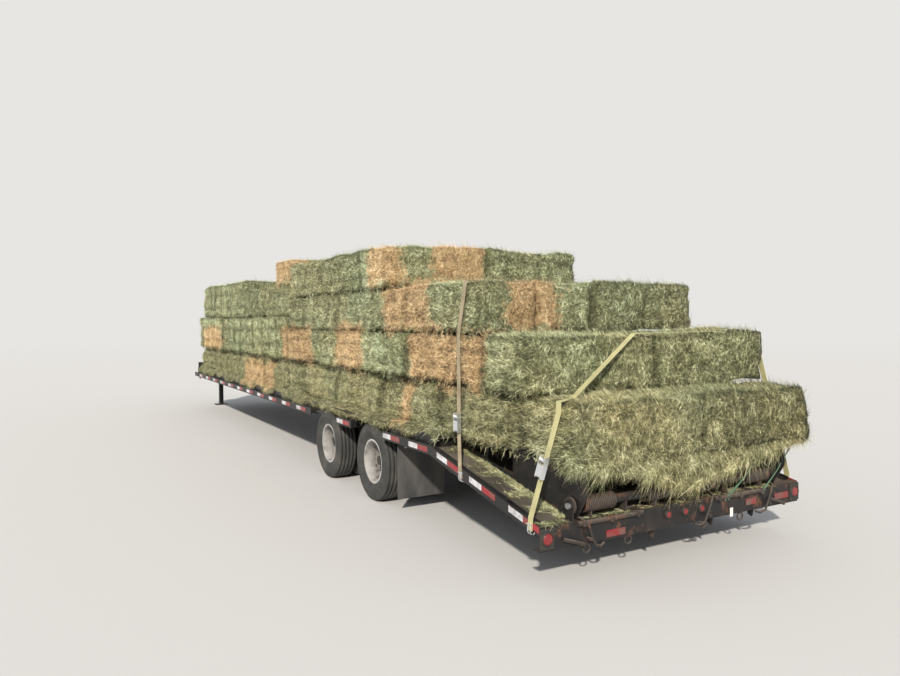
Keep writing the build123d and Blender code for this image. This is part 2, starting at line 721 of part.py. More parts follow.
# Landing legs: square housings beside the risers, telescoping legs with feet, a cross shaft and a crank
housing_half = 45.0
housing_wall = 6.0
leg_x = riser_front + 66.0
leg_beside_riser = 26.0
leg_y = beam_y + beam_width / 2 + leg_beside_riser + housing_half
housing_z = (430.0, neck_bottom - 146.0)
cap_thick = 6.0
bracket_z = (700.0, 1150.0)
bracket_start = deck_front + 20.0
leg_half = housing_half - housing_wall - seat_gap
leg_wall = 6.0
leg_in_housing = 320.0
foot_half = 125.0
foot_thick = 12.0
shaft_z = housing_z[1] - 120.0
shaft_radius = 12.0
crank_radius = 9.0
crank_steps = (90.0, 110.0, 230.0)  # out to the bend, to the throw's end and to the grip's end
crank_throw = 260.0


def square_tube(x, y, half, thick, z):
    outer = block((x - half, x + half), (y - half, y + half), z)
    inner = half - thick
    return outer - block((x - inner, x + inner), (y - inner, y + inner), (z[0] - 1, z[1] + 1))


def leg_housing():
    housing = square_tube(leg_x, leg_y, housing_half, housing_wall, housing_z)
    cap = block((leg_x - housing_half, leg_x + housing_half), (leg_y - housing_half, leg_y + housing_half),
                (housing_z[1], housing_z[1] + cap_thick))
    riser_side = beam_y + beam_width / 2
    bracket = block((bracket_start, leg_x + housing_half), (riser_side, leg_y - housing_half), bracket_z)
    return housing + cap + bracket


def landing_leg():
    leg = square_tube(leg_x, leg_y, leg_half, leg_wall, (foot_thick, housing_z[0] + leg_in_housing))
    foot_y = (leg_y - foot_half, leg_y + foot_half)
    foot = block((leg_x - foot_half, leg_x + foot_half), foot_y, (0, foot_thick))
    return leg + foot


save("landing_leg_housings", *both_sides(leg_housing()))
save("landing_legs", *both_sides(landing_leg()))

shaft_reach = leg_y - housing_half
crank_out = leg_y + housing_half
crank_path = Polyline(
    (leg_x, crank_out, shaft_z),
    (leg_x, crank_out + crank_steps[0], shaft_z),
    (leg_x, crank_out + crank_steps[1], shaft_z - crank_throw),
    (leg_x, crank_out + crank_steps[2], shaft_z - crank_throw),
)
crank_section = Plane(origin=(leg_x, crank_out, shaft_z), z_dir=(0, 1, 0)) * Circle(crank_radius)
crank = sweep(crank_section, path=crank_path, transition=Transition.RIGHT)
cross_shaft = Pos(leg_x, 0, shaft_z) * Rot(90, 0, 0) * Cylinder(shaft_radius, 2 * shaft_reach)
save("landing_shaft", crank, cross_shaft)

# Ramps: two wedges that lie on the dovetail with their tops level with the deck, and their hinge tube
ramp_width = 970.0
ramp_inset = 300.0
ramp_plate = 8.0
ramp_rear = -100.0
ramp_front = dovetail_length - 5.0
ramp_panel_front = 735.0
ramp_heel_drop = 210.0         # from the deck's top to the side plate's lower rear corner
hinge_x = 40.0
hinge_z = deck_top - 290.0
hinge_radius = 33.0
hinge_wrap = 22.0              # of the side plate round the hinge tube
window_length = 350.0
window_post = 30.0
window_end = 25.0
chord = 36.0
ramp_y = (half_width - ramp_inset - ramp_width, half_width - ramp_inset)
ramp_floor = dovetail_floor_top + seat_gap


def ramp_side(y):
    """A ramp's side plate: closed over the hinge, and an open truss towards its thin end."""
    def low(x):
        return ramp_floor - dovetail_fall(x)
    outline = [
        (ramp_rear, deck_top), (ramp_rear, deck_top - ramp_heel_drop),
        (hinge_x - hinge_radius - hinge_wrap, hinge_z - hinge_radius - hinge_wrap),
        (bumper_depth + 10, low(bumper_depth + 10)), (ramp_front, low(ramp_front)), (ramp_front, deck_top),
    ]
    post_x = ramp_panel_front + window_length
    bays = ((ramp_panel_front, post_x), (post_x + window_post, ramp_front - window_end))
    windows = []
    for x0, x1 in bays:
        windows.append([(x0, low(x0) + chord), (x1, low(x1) + chord),
                        (x1, deck_top - chord), (x0, deck_top - chord)])
    plate = side_plate(outline, (y, y + ramp_plate), *windows)
    return plate - Pos(hinge_x, y, hinge_z) * Rot(90, 0, 0) * Cylinder(hinge_radius + seat_gap, chord)


cleat_count = 10
cleat_width = 32.0
cleat_wall = 5.0
cleat_section = channel_section(chord, cleat_width, cleat_wall)
first_cleat = ramp_rear + 46.0
last_cleat = ramp_front - 14.0
stiffener_thick = 8.0
stiffener_depth = 30.0


def ramp():
    frame = ramp_side(ramp_y[0]) + ramp_side(ramp_y[1] - ramp_plate)
    cleat_pitch = (last_cleat - first_cleat) / (cleat_count - 1)
    for i in range(cleat_count):
        x = first_cleat + cleat_pitch * i
        z = deck_top - chord / 2
        frame += run(cleat_section, (x, ramp_y[0] + ramp_plate, z), (x, ramp_y[1] - ramp_plate, z))
    middle = (ramp_y[0] + ramp_y[1]) / 2
    stiffener_top = deck_top - chord
    frame += block((first_cleat - cleat_width / 2, last_cleat - cleat_width / 2),
                   (middle - stiffener_thick / 2, middle + stiffener_thick / 2),
                   (stiffener_top - stiffener_depth, stiffener_top))
    return frame


left_ramp = ramp()
save("ramp_left", left_ramp)
save("ramp_right", mirror(left_ramp, about=Plane.XZ))

lug_half = 35.0
lug_thick = 16.0
lug_ring = 10.0                # of a lug round the tube
lug_outline = [(hinge_x - lug_half, bumper_top), (hinge_x + lug_half, bumper_top),
               (hinge_x + lug_half, hinge_z), (hinge_x - lug_half, hinge_z)]
hinge_reach = ramp_y[1] + 34.0
hinge = Pos(hinge_x, 0, hinge_z) * Rot(90, 0, 0) * Cylinder(hinge_radius, 2 * hinge_reach)
for y in (-hinge_reach + lug_thick / 2, 0, hinge_reach - lug_thick / 2):
    lug = side_plate(lug_outline, (y - lug_thick / 2, y + lug_thick / 2))
    lug += Pos(hinge_x, y, hinge_z) * Rot(90, 0, 0) * Cylinder(hinge_radius + lug_ring, lug_thick)
    hinge += lug
save("ramp_hinge", hinge)

# Hay: each layer is a table of courses (kind, count), laid forward from the layer's rear face
hay_bottom = deck_top + seat_gap
hay_half = bale_length + bale_gap / 2
bale_crushed = 330.0           # height of a bale that the load has flattened
course_sizes = {
    # kind: (length along the trailer, bales across, height)
    "along": (bale_length, 4, bale_height),
    "across": (bale_width, 2, bale_height),
    "crushed": (bale_width, 2, bale_crushed),
    "on_edge": (bale_height, 2, bale_width),
}
hay_front = deck_front - end_channel_width
to_the_front = 99              # as many courses as end before hay_front
hay_layers = (
    # name, rear face, and (kind, count, slack after each course) from the rear forwards
    ("hay_layer_1", hay_rear, (("across", 1, 0), ("along", 4, 0), ("across", 1, 0),
                               ("along", to_the_front, 0))),
    ("hay_layer_2", 290.0, (("across", 1, 21), ("along", 4, 21), ("on_edge", to_the_front, 0))),
    ("hay_layer_3", 980.0, (("along", 2, 0), ("across", 1, 0), ("along", 1, 0), ("across", 1, 0),
                            ("along", 2, 0), ("on_edge", to_the_front, 0))),
    ("hay_layer_4", 2650.0, (("across", 1, 28), ("along", 2, 28.5), ("crushed", 1, 0))),
)


def lay_course(x, kind, bottom):
    """One course of bales across the trailer, from x forwards."""
    length, across, height = course_sizes[kind]
    pitch = 2 * hay_half / across
    bales = []
    for i in range(across):
        y0 = -hay_half + pitch * i + bale_gap / 2
        bales.append(block((x, x + length - bale_gap), (y0, y0 + pitch - bale_gap),
                           (bottom, bottom + height - bale_gap)))
    return bales


tops = []                      # (rear, front, height of top) of every course laid so far
for name, rear, courses in hay_layers:
    bales = []
    x = rear
    laid = []
    for kind, count, slack in courses:
        length, _across, height = course_sizes[kind]
        count = min(count, int((hay_front - x) // (length + slack)))
        for _ in range(count):
            under = [top for x0, x1, top in tops if x0 < x + length - 1 and x1 > x + 1]
            bottom = max(under) if under else hay_bottom
            bales += lay_course(x, kind, bottom)
            laid.append((x, x + length, bottom + height))
            x += length + slack
    tops = laid
    save(name, *bales)

# Straps: flat webbing from rail to rail, drawn as a ribbon through points just clear of the hay
strap_width = 50.0
strap_thick = 3.0


def webbing(points, width=strap_width):
    """A ribbon through points, each of its folds lying along the trailer."""
    sections = []
    spots = [Vector(*point) for point in points]
    for before, spot, after in zip([spots[0], *spots], spots, [*spots[1:], spots[-1]]):
        ways = [Vector(0, way.Y, way.Z).normalized() for way in (spot - before, after - spot) if way.length]
        tangent = sum(ways, Vector(0, 0, 0)).normalized()
        mitred = strap_thick / tangent.dot(ways[0])
        sections.append(Plane(origin=spot, x_dir=(1, 0, 0), z_dir=tangent) * Rectangle(width, mitred))
    return loft(sections, ruled=True)


strap_off = strap_thick / 2 + seat_gap
hay_side = hay_half - bale_gap / 2 + strap_off
layer_tops = [hay_bottom + bale_height * (i + 1) - bale_gap + strap_off for i in range(3)]
rail_face = half_width + strap_off


def rail_height(x):
    """The middle of a rub rail at x on the dovetail."""
    return rub_rail_centre - dovetail_fall(x)


rail_clear = 56.0              # from a rail's middle to where the strap turns in
hook_drop = 30.0               # of a strap's end below a rail's middle
strap_rise = 0.32              # climb from rail to hay, over the way in
front_hook_x = 990.0
front_side_x = 1225.0          # where the front strap climbs the hay
front_top_x = 1110.0
front_turn_z = deck_top + (rail_face - hay_side) * strap_rise
front_left = [
    (front_hook_x, rail_face, rail_height(front_hook_x) - hook_drop),
    (front_hook_x + 12, rail_face, rail_height(front_hook_x) + rail_clear),
    (front_side_x, hay_side, front_turn_z),
    (front_side_x, hay_side, layer_tops[1]),
    (front_top_x, hay_side, layer_tops[2]),
]
front_right = [(x, -y, z) for x, y, z in reversed(front_left)]
save("strap_front", webbing(front_left + front_right))

rear_hook_x = 105.0
rear_side_x = -35.0            # where the rear strap meets the lowest layer
rear_side_drop = 75.0
rear_over = (92.0, 949.0)      # x, y of its folds over the two lowest layers
rear_up = (256.0, 250.0)
rear_across = (420.0, -250.0)
rear_off_x = 330.0
rear_line = [
    (rear_hook_x, rail_face, rail_height(rear_hook_x) - hook_drop),
    (rear_hook_x - 8, rail_face, rail_height(rear_hook_x) + rail_clear),
    (rear_side_x, hay_side, layer_tops[0] - rear_side_drop),
    (rear_side_x - 3, hay_side, layer_tops[0]),
    (*rear_over, layer_tops[0]),
    (*rear_up, layer_tops[1]),
    (*rear_across, layer_tops[1]),
    (rear_off_x, -hay_side, layer_tops[1]),
    (rear_hook_x - 8, -rail_face, rail_height(rear_hook_x) + rail_clear),
    (rear_hook_x, -rail_face, rail_height(rear_hook_x) - hook_drop),
]
save("strap_rear", webbing(rear_line))

ratchet_length = 150.0
ratchet_side = 4.0
ratchet_depth = 34.0
ratchet_inside = 58.0          # between its side plates, which straddle the strap
ratchet_handle = (10.0, 90.0)
spool_radius = 12.0
spool_inset = 33.0
anchor_radius = 6.0
anchor_inset = 12.0
front_ratchet_share = 0.02     # how far up the strap's run a ratchet starts
rear_ratchet_share = 0.38


def ratchet(low, high, share):
    """Two side plates, a spool, an anchor rod and a folded handle, on the strap at a share of its run."""
    low, high = Vector(*low), Vector(*high)
    along = (high - low).normalized()
    across = (Vector(1, 0, 0) - along * along.X).normalized()
    place = Plane(origin=low + (high - low) * share, x_dir=across, z_dir=along).location
    inner = ratchet_inside / 2
    outer = inner + ratchet_side
    top = ratchet_depth - ratchet_side
    body = block((-inner, inner), (top - ratchet_side, top), ratchet_handle)
    body += block((-outer, -inner), (0, ratchet_depth), (0, ratchet_length))
    body += block((inner, outer), (0, ratchet_depth), (0, ratchet_length))
    for radius, z in ((spool_radius, ratchet_length - spool_inset), (anchor_radius, anchor_inset)):
        rod = Cylinder(radius, ratchet_inside + ratchet_side)
        body += Pos(0, strap_off + radius, z) * Rot(0, 90, 0) * rod
    return place * body


save("strap_ratchets", ratchet(front_left[2], front_left[3], front_ratchet_share),
     ratchet(rear_line[1], rear_line[2], rear_ratchet_share))
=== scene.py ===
# %% [markdown]
# A hay wagon is a flat trailer under a soft load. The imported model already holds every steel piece,
# wheel and bale at its true size and place. This file gives them their looks: paint, dust, rubber,
# weathered boards and, above all, the hay, which is built up from thousands of thin blades.

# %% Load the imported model
import math

import bmesh
import bpy
import numpy as np
from mathutils import Euler, Matrix, Vector, noise


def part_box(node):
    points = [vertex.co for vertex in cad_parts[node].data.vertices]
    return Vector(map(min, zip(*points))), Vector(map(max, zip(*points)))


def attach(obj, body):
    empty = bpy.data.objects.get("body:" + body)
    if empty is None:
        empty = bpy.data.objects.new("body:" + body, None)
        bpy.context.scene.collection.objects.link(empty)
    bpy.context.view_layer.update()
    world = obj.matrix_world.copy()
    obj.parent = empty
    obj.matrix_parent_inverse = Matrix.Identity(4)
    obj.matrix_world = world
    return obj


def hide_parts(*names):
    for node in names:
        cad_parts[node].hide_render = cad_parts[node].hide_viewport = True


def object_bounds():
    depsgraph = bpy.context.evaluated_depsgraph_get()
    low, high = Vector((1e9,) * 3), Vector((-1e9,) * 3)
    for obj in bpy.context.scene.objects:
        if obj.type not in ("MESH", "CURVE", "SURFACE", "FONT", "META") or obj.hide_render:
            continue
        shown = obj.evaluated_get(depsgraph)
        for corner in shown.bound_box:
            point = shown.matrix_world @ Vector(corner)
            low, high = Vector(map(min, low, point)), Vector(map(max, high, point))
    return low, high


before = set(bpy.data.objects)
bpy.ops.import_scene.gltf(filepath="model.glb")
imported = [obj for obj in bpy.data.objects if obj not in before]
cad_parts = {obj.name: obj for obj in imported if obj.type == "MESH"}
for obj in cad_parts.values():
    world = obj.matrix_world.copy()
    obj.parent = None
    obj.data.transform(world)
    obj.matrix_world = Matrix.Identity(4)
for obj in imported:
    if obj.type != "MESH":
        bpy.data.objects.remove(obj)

cad_low, cad_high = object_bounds()

# %% [markdown]
# Places are easiest to think of along the trailer, measured forward from the bumper's rear face, to the
# left, and up from the ground. One helper turns them into the model's own coordinates, so a number read
# off a drawing or worked out from the photograph can be used as it stands. Another puts an object of any
# kind into the scene.

# %% Places along the trailer
tail_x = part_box("rear_bumper")[0].x
deck_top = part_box("deck_boards")[1].z
rail_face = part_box("rub_rails")[1].y
left_right = ((1, "left"), (-1, "right"))
dovetail_length = 1.5
dovetail_fall = 0.2            # metres of drop for each metre towards the rear


def at(x, y, z):
    """A point along the trailer, in the model's coordinates."""
    return Vector((tail_x + x, y, z))


def fall(x):
    """How far the dovetail has dropped at x along the trailer."""
    return max(0.0, dovetail_length - x) * dovetail_fall


def added(name, data):
    """A new object in the scene."""
    made = bpy.data.objects.new(name, data)
    bpy.context.scene.collection.objects.link(made)
    return made


print("deck top", round(deck_top, 3), "rail face", round(rail_face, 4))

# %% [markdown]
# A camera is matched to a photograph by things of known size. The strips of tape along the rail repeat
# every 0.61 m, and the rail is 2.59 m wide, so the place, the aim and the focal length follow. The focal
# length is in pixels of a picture 900 wide, which the sensor's width turns into millimetres.

# %% Camera
focal_pixels = 726.1
picture_width = 900
sensor_width = 36.0
camera_yaw = -0.516967
camera_pitch = -0.026529
camera_roll = -0.00733
camera_place = at(-3.714, 4.056, 1.761)
view_end = 500.0

camera_data = bpy.data.cameras.new("camera")
camera_data.sensor_width = sensor_width
camera_data.lens = focal_pixels / picture_width * sensor_width
camera_data.clip_end = view_end
camera = added("camera", camera_data)
aim = Vector((math.cos(camera_yaw) * math.cos(camera_pitch),
              math.sin(camera_yaw) * math.cos(camera_pitch), math.sin(camera_pitch)))
across = Vector((math.sin(camera_yaw), -math.cos(camera_yaw), 0))
upward = across.cross(aim)
turned_across = math.cos(camera_roll) * across + math.sin(camera_roll) * upward
turned_upward = math.cos(camera_roll) * upward - math.sin(camera_roll) * across
axes = Matrix((turned_across, turned_upward, -aim)).transposed()
camera.matrix_world = Matrix.Translation(camera_place) @ axes.to_4x4()
bpy.context.scene.camera = camera
print("lens", round(camera_data.lens, 2), "mm")

# %% [markdown]
# Sockets of shader and geometry nodes can be wrapped so that Python's own operators add the maths nodes.
# Then a formula in the script reads like the formula on paper.


# %% Node arithmetic
class Term:
    """One output socket of a node tree, which can be used in arithmetic."""

    def __init__(self, tree, socket):
        self.tree = tree
        self.socket = socket

    def maths(self, operation, other, reflected=False):
        """A maths node on this term and another, or the other way round."""
        node = self.tree.nodes.new("ShaderNodeMath")
        node.operation = operation
        pair = (other, self) if reflected else (self, other)
        for slot, value in zip(node.inputs, pair):
            feed(self.tree, slot, value)
        return Term(self.tree, node.outputs[0])

    def __add__(self, other):
        return self.maths("ADD", other)

    def __sub__(self, other):
        return self.maths("SUBTRACT", other)

    def __mul__(self, other):
        return self.maths("MULTIPLY", other)

    def __pow__(self, other):
        return self.maths("POWER", other)

    def __rsub__(self, other):
        return self.maths("SUBTRACT", other, reflected=True)

    __radd__ = __add__
    __rmul__ = __mul__

    def least(self, other):
        return self.maths("MINIMUM", other)

    def most(self, other):
        return self.maths("MAXIMUM", other)

    def clamped(self):
        return self.most(0.0).least(1.0)


def feed(tree, slot, value):
    """Links a term to a socket, or sets the socket's own value."""
    if isinstance(value, Term):
        tree.links.new(value.socket, slot)
    else:
        slot.default_value = value


# %% [markdown]
# One method makes every other node: its settings come first, because some of them change which sockets
# the node has. A finish is a material on top of that, whose usual steps have names: noise, a smooth step,
# a mix of two colours, a bump.


# %% Graphs and finishes
class Graph:
    """A node tree, with one method that adds any node."""

    def __init__(self, tree):
        self.tree = tree

    def node(self, kind, settings=None, inputs=None, output=0):
        """Adds a node, and gives one of its outputs."""
        node = self.tree.nodes.new(kind)
        for key, value in (settings or {}).items():
            if key == "stops":
                self.ramp(node.color_ramp, value)
            else:
                setattr(node, key, value)
        for key, value in (inputs or {}).items():
            feed(self.tree, node.inputs[key], value)
        if output is not None:
            return Term(self.tree, node.outputs[output])

    def ramp(self, ramp, stops):
        """Sets a colour ramp to (place, colour) stops."""
        while len(ramp.elements) < len(stops):
            ramp.elements.new(0.5)
        for element, (place, colour) in zip(ramp.elements, stops):
            element.position = place
            element.color = (*colour, 1.0)

    def split(self, vector):
        """The three parts of a vector."""
        node = self.tree.nodes.new("ShaderNodeSeparateXYZ")
        feed(self.tree, node.inputs[0], vector)
        return [Term(self.tree, output) for output in node.outputs]


class Finish(Graph):
    """A material that is built up from named steps."""

    def __init__(self, name, **sockets):
        self.material = bpy.data.materials.new(name)
        self.material.use_nodes = True
        super().__init__(self.material.node_tree)
        self.tree.nodes.clear()
        self.shader = self.tree.nodes.new("ShaderNodeBsdfPrincipled")
        self.output = self.tree.nodes.new("ShaderNodeOutputMaterial")
        self.show(self.shaded())
        self.place = self.node("ShaderNodeTexCoord", output="Object")
        for key, value in sockets.items():
            self.set(key.replace("_", " "), value)

    def set(self, key, value):
        if isinstance(value, tuple) and len(value) == 3:
            value = (*value, 1.0)
        feed(self.tree, self.shader.inputs[key], value)

    def shaded(self):
        return Term(self.tree, self.shader.outputs[0])

    def show(self, shader):
        """Makes a shader the material's surface."""
        feed(self.tree, self.output.inputs["Surface"], shader)

    def stretched(self, scale):
        """Object coordinates, scaled along each axis."""
        return self.node("ShaderNodeMapping", None, {"Vector": self.place, "Scale": scale})

    def noise(self, scale, detail=3.0, place=None, roughness=0.55):
        return self.node("ShaderNodeTexNoise", None,
                         {"Vector": place or self.place, "Scale": scale, "Detail": detail,
                          "Roughness": roughness})

    def coloured_noise(self, scale, detail):
        return self.node("ShaderNodeTexNoise", None,
                         {"Vector": self.place, "Scale": scale, "Detail": detail}, output="Color")

    def colours(self, factor, *stops):
        return self.node("ShaderNodeValToRGB", {"stops": stops}, {"Fac": factor})

    def mix(self, factor, first, second, blend="MIX"):
        sockets = {0: factor}
        for slot, colour in ((6, first), (7, second)):
            sockets[slot] = (*colour, 1.0) if isinstance(colour, tuple) else colour
        return self.node("ShaderNodeMix", {"data_type": "RGBA", "blend_type": blend}, sockets, output=2)

    def step(self, value, low, high):
        """Rises smoothly from 0 at low to 1 at high."""
        return self.node("ShaderNodeMapRange", {"interpolation_type": "SMOOTHSTEP"},
                         {"Value": value, "From Min": low, "From Max": high})

    def bump(self, height, strength=0.5, distance=0.01):
        normal = self.node("ShaderNodeBump", None,
                           {"Height": height, "Strength": strength, "Distance": distance})
        self.set("Normal", normal)


# %% [markdown]
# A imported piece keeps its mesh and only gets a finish. A new piece is made of a mesh whose corners are
# already in their places, and it says which body carries it.


# %% Pieces
def paint(node, material):
    """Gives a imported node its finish."""
    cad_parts[node].material_slots[0].material = material


def piece(name, mesh, material, body="chassis", smooth=False):
    """Makes a finished object of a mesh whose corners are already in place."""
    made = added(name, mesh)
    if material:
        mesh.materials.clear()
        mesh.materials.append(material)
    if smooth:
        mesh.polygons.foreach_set("use_smooth", [True] * len(mesh.polygons))
    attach(made, body)
    print(name, "faces", len(mesh.polygons))
    return made


def mesh_of(name, corners, faces):
    """A mesh of corners, and of faces that number them."""
    mesh = bpy.data.meshes.new(name)
    mesh.from_pydata([tuple(corner) for corner in corners], [], faces)
    mesh.validate()
    mesh.update()
    return mesh


# %% [markdown]
# The wagon stands on a plain pale floor under a soft key light. In the photograph the sun is low behind
# the camera and a little to its left, so the key comes from there, and the sky's fill comes from a pale
# world. A broad lamp keeps the shadows' edges soft, as in a studio.

# %% Floor, world and lights
floor_half = 140.0
floor_colour = (0.60, 0.585, 0.56)
backdrop_colour = (0.80, 0.79, 0.77)
key_direction = Vector((-0.684, 0.5, 0.53))
key_strength = 4.4
key_colour = (1.0, 0.95, 0.87)
key_angle = math.radians(2.5)  # how wide the lamp looks, which softens the shadows
fill_strength = 0.62
fill_colour = (0.86, 0.91, 1.0)
haze_from_to = (9.0, 60.0)     # metres over which the floor fades into the backdrop

floor_corners = [(x * floor_half, y * floor_half, 0) for x, y in ((-1, -1), (1, -1), (1, 1), (-1, 1))]
floor_mesh = mesh_of("floor", floor_corners, [(0, 1, 2, 3)])
floor = added("floor", floor_mesh)


def seen_directly(graph):
    """1 for the rays that show a surface to the camera, straight or by way of metal or glass."""
    camera_ray, glossy, through = (graph.node("ShaderNodeLightPath", output=f"Is {kind} Ray")
                                   for kind in ("Camera", "Glossy", "Transmission"))
    return camera_ray.most(glossy).most(through)


floor_finish = Finish("floor_paint", Roughness=0.95)
floor_finish.set("Base Color", floor_colour)
distance = floor_finish.node("ShaderNodeVectorMath", {"operation": "LENGTH"},
                             {0: floor_finish.place}, output="Value")
haze = floor_finish.step(distance, *haze_from_to) * seen_directly(floor_finish)
far_floor = floor_finish.node("ShaderNodeEmission", None, {"Color": (*backdrop_colour, 1.0)})
floor_finish.show(floor_finish.node("ShaderNodeMixShader", None,
                                    {0: haze, 1: floor_finish.shaded(), 2: far_floor}))
floor_mesh.materials.append(floor_finish.material)

key_data = bpy.data.lights.new("key", "SUN")
key_data.energy = key_strength
key_data.angle = key_angle
key_data.color = key_colour
key = added("key", key_data)
key.rotation_mode = "QUATERNION"
key.rotation_quaternion = key_direction.to_track_quat("Z", "Y")

world = bpy.data.worlds.new("studio")
world.use_nodes = True
sky = Graph(world.node_tree)
sky.tree.nodes.clear()
fill = sky.node("ShaderNodeBackground", None, {"Color": (*fill_colour, 1.0), "Strength": fill_strength})
backdrop = sky.node("ShaderNodeBackground", None, {"Color": (*backdrop_colour, 1.0), "Strength": 1.0})
both = sky.node("ShaderNodeMixShader", None, {0: seen_directly(sky), 1: fill, 2: backdrop})
sky.node("ShaderNodeOutputWorld", None, {"Surface": both}, output=None)
bpy.context.scene.world = world
bpy.context.scene.view_settings.view_transform = "Standard"
print("key", key_strength, "fill", fill_strength)

# %% [markdown]
# Steel on a farm trailer is sprayed black and then lives in dust. The same recipe serves every frame
# piece: a dark base, a thin film of dust that gathers on upward faces and in patches, and on the worn
# pieces spots of rust. Dust is mostly a change in roughness and colour, so one mask drives both.

# %% Painted steel
rust_colour = (0.16, 0.07, 0.035)


def dusty_steel(name, base, dust, amount, roughness=0.42, rust=0.0):
    """Paint with a film of dust that lies on top and in patches, and spots of rust."""
    finish = Finish(name, Metallic=0.0)
    up = finish.split(finish.node("ShaderNodeNewGeometry", output="Normal"))[2]
    patches = finish.noise(2.3, 6.0)
    grain = finish.noise(70.0, 3.0)
    settled = finish.step(up, 0.2, 0.9) * 0.55 + finish.step(patches, 0.42, 0.72) * 0.6
    film = (settled * (grain * 0.8 + 0.55) * amount).clamped()
    colour = finish.mix(film, base, dust)
    if rust:
        spots = finish.step(finish.noise(9.0, 8.0, roughness=0.7), 0.53, 0.70) * rust
        colour = finish.mix(spots, colour, rust_colour)
    finish.set("Base Color", colour)
    finish.set("Roughness", film * 0.4 + grain * 0.12 + roughness)
    finish.bump(grain * 0.5 + patches, 0.12, 0.004)
    return finish.material


black_paint = dusty_steel("black_paint", (0.008, 0.008, 0.009), (0.19, 0.165, 0.13), 0.16)
bumper_paint = dusty_steel("bumper_paint", (0.009, 0.008, 0.008), (0.16, 0.105, 0.075), 0.42, 0.55, rust=0.9)
worn_steel = dusty_steel("worn_steel", (0.036, 0.028, 0.023), (0.22, 0.175, 0.135), 0.75, 0.6, rust=0.75)
ramp_paint = dusty_steel("ramp_paint", (0.008, 0.008, 0.009), (0.15, 0.12, 0.095), 0.20, 0.5, rust=0.35)
running_gear_paint = dusty_steel("running_gear_paint", (0.012, 0.011, 0.011), (0.22, 0.18, 0.14), 0.6, 0.6)
hub_paint = dusty_steel("hub_paint", (0.010, 0.010, 0.010), (0.2, 0.17, 0.13), 0.3)

painted_nodes = (
    (black_paint, ("main_beams", "crossmembers", "side_channels", "rub_rails", "stake_pockets", "front_rail",
                   "wheel_covers", "dovetail_beams", "neck_risers", "neck_beams", "neck_crossmembers",
                   "coupler", "toolbox", "toolbox_lid", "landing_leg_housings", "landing_legs",
                   "landing_shaft", "mud_flap_hangers")),
    (bumper_paint, ("rear_bumper", "ramp_hinge")),
    (ramp_paint, ("ramp_left", "ramp_right")),
    (running_gear_paint, ("axles", "leaf_springs", "spring_hangers", "spring_rockers")),
)
for material, nodes in painted_nodes:
    for node in nodes:
        paint(node, material)
    print(material.name, "on", len(nodes), "nodes")

# %% [markdown]
# Deck boards go silver and brown with weather. The dovetail's boards are far darker than the deck's, with
# less dust on them. Grain is noise stretched along the board.

# %% Weathered boards
board_dust = (0.42, 0.36, 0.27)


def weathered_wood(name, dark, pale, dust_amount):
    """Boards whose grain runs along X, with dust in their stains."""
    finish = Finish(name)
    grain = finish.noise(1.0, 6.0, finish.stretched((1.6, 90.0, 60.0)), 0.6)
    stains = finish.noise(1.8, 5.0)
    colour = finish.mix(grain, dark, pale)
    dust = finish.step(stains, 0.38, 0.7) * dust_amount
    finish.set("Base Color", finish.mix(dust, colour, board_dust))
    finish.set("Roughness", 0.85)
    finish.bump(grain, 0.5, 0.004)
    return finish.material


paint("deck_boards", weathered_wood("deck_wood", (0.05, 0.04, 0.03), (0.19, 0.16, 0.12), 0.5))
paint("dovetail_floor", weathered_wood("dovetail_wood", (0.022, 0.018, 0.013), (0.085, 0.07, 0.052), 0.22))
print("materials", len(bpy.data.materials))

# %% [markdown]
# Rubber and rims are plain stuff, but each has its own roughness. Dusty tyres scatter light widely, and
# the dust on the mud flaps has run down in streaks. Rims are satin paint with patches of dirt, and painted
# shade darkens the depth of their dish, lifting towards the edge that stands out.

# %% Rubber and rims
tyre_rubber = Finish("tyre_rubber", Roughness=0.82)
tyre_dust = tyre_rubber.step(tyre_rubber.noise(6.0, 5.0), 0.35, 0.75) * 0.6 + 0.2
tyre_rubber.set("Base Color", tyre_rubber.mix(tyre_dust, (0.021, 0.021, 0.021), (0.088, 0.084, 0.073)))
tyre_rubber.bump(tyre_rubber.noise(160.0, 2.0), 0.2, 0.002)

dish_depth = (1.04, 1.25)      # metres from the trailer's middle between which the painted shade in a rim's dish lifts
rim_paint = Finish("rim_paint", Metallic=0.0)
rim_dirt = rim_paint.step(rim_paint.noise(11.0, 6.0), 0.45, 0.75)
rim_out = rim_paint.split(rim_paint.place)[1].maths("ABSOLUTE", 0.0)
# painted shade: the deeper in the dish, the darker the rim, plus patches of real dirt
rim_dirt_and_shade = ((1.0 - rim_paint.step(rim_out, *dish_depth)) * 0.9 + rim_dirt * 0.6).clamped()
rim_paint.set("Base Color", rim_paint.mix(rim_dirt_and_shade, (0.46, 0.445, 0.42), (0.055, 0.047, 0.038)))
rim_paint.set("Roughness", rim_dirt * 0.35 + 0.35)
rim_paint.bump(rim_paint.noise(90.0), 0.08, 0.002)

flap_rubber = Finish("flap_rubber", Roughness=0.8)
flap_dust = flap_rubber.step(flap_rubber.noise(5.0, 5.0, flap_rubber.stretched((1.0, 1.0, 0.35))), 0.3, 0.7)
flap_rubber.set("Base Color", flap_rubber.mix(flap_dust, (0.036, 0.036, 0.037), (0.092, 0.086, 0.079)))
flap_rubber.bump(flap_rubber.noise(40.0), 0.15, 0.002)

# %% [markdown]
# A strap's webbing is woven in ribs. Years on a load grey it in patches, most of all the old one. A lamp's
# lens is glossy plastic and zinc is bright metal, and the colour of both only drifts a little.

# %% Webbing, lamps and zinc
rib_shadow = (0.16, 0.14, 0.09)


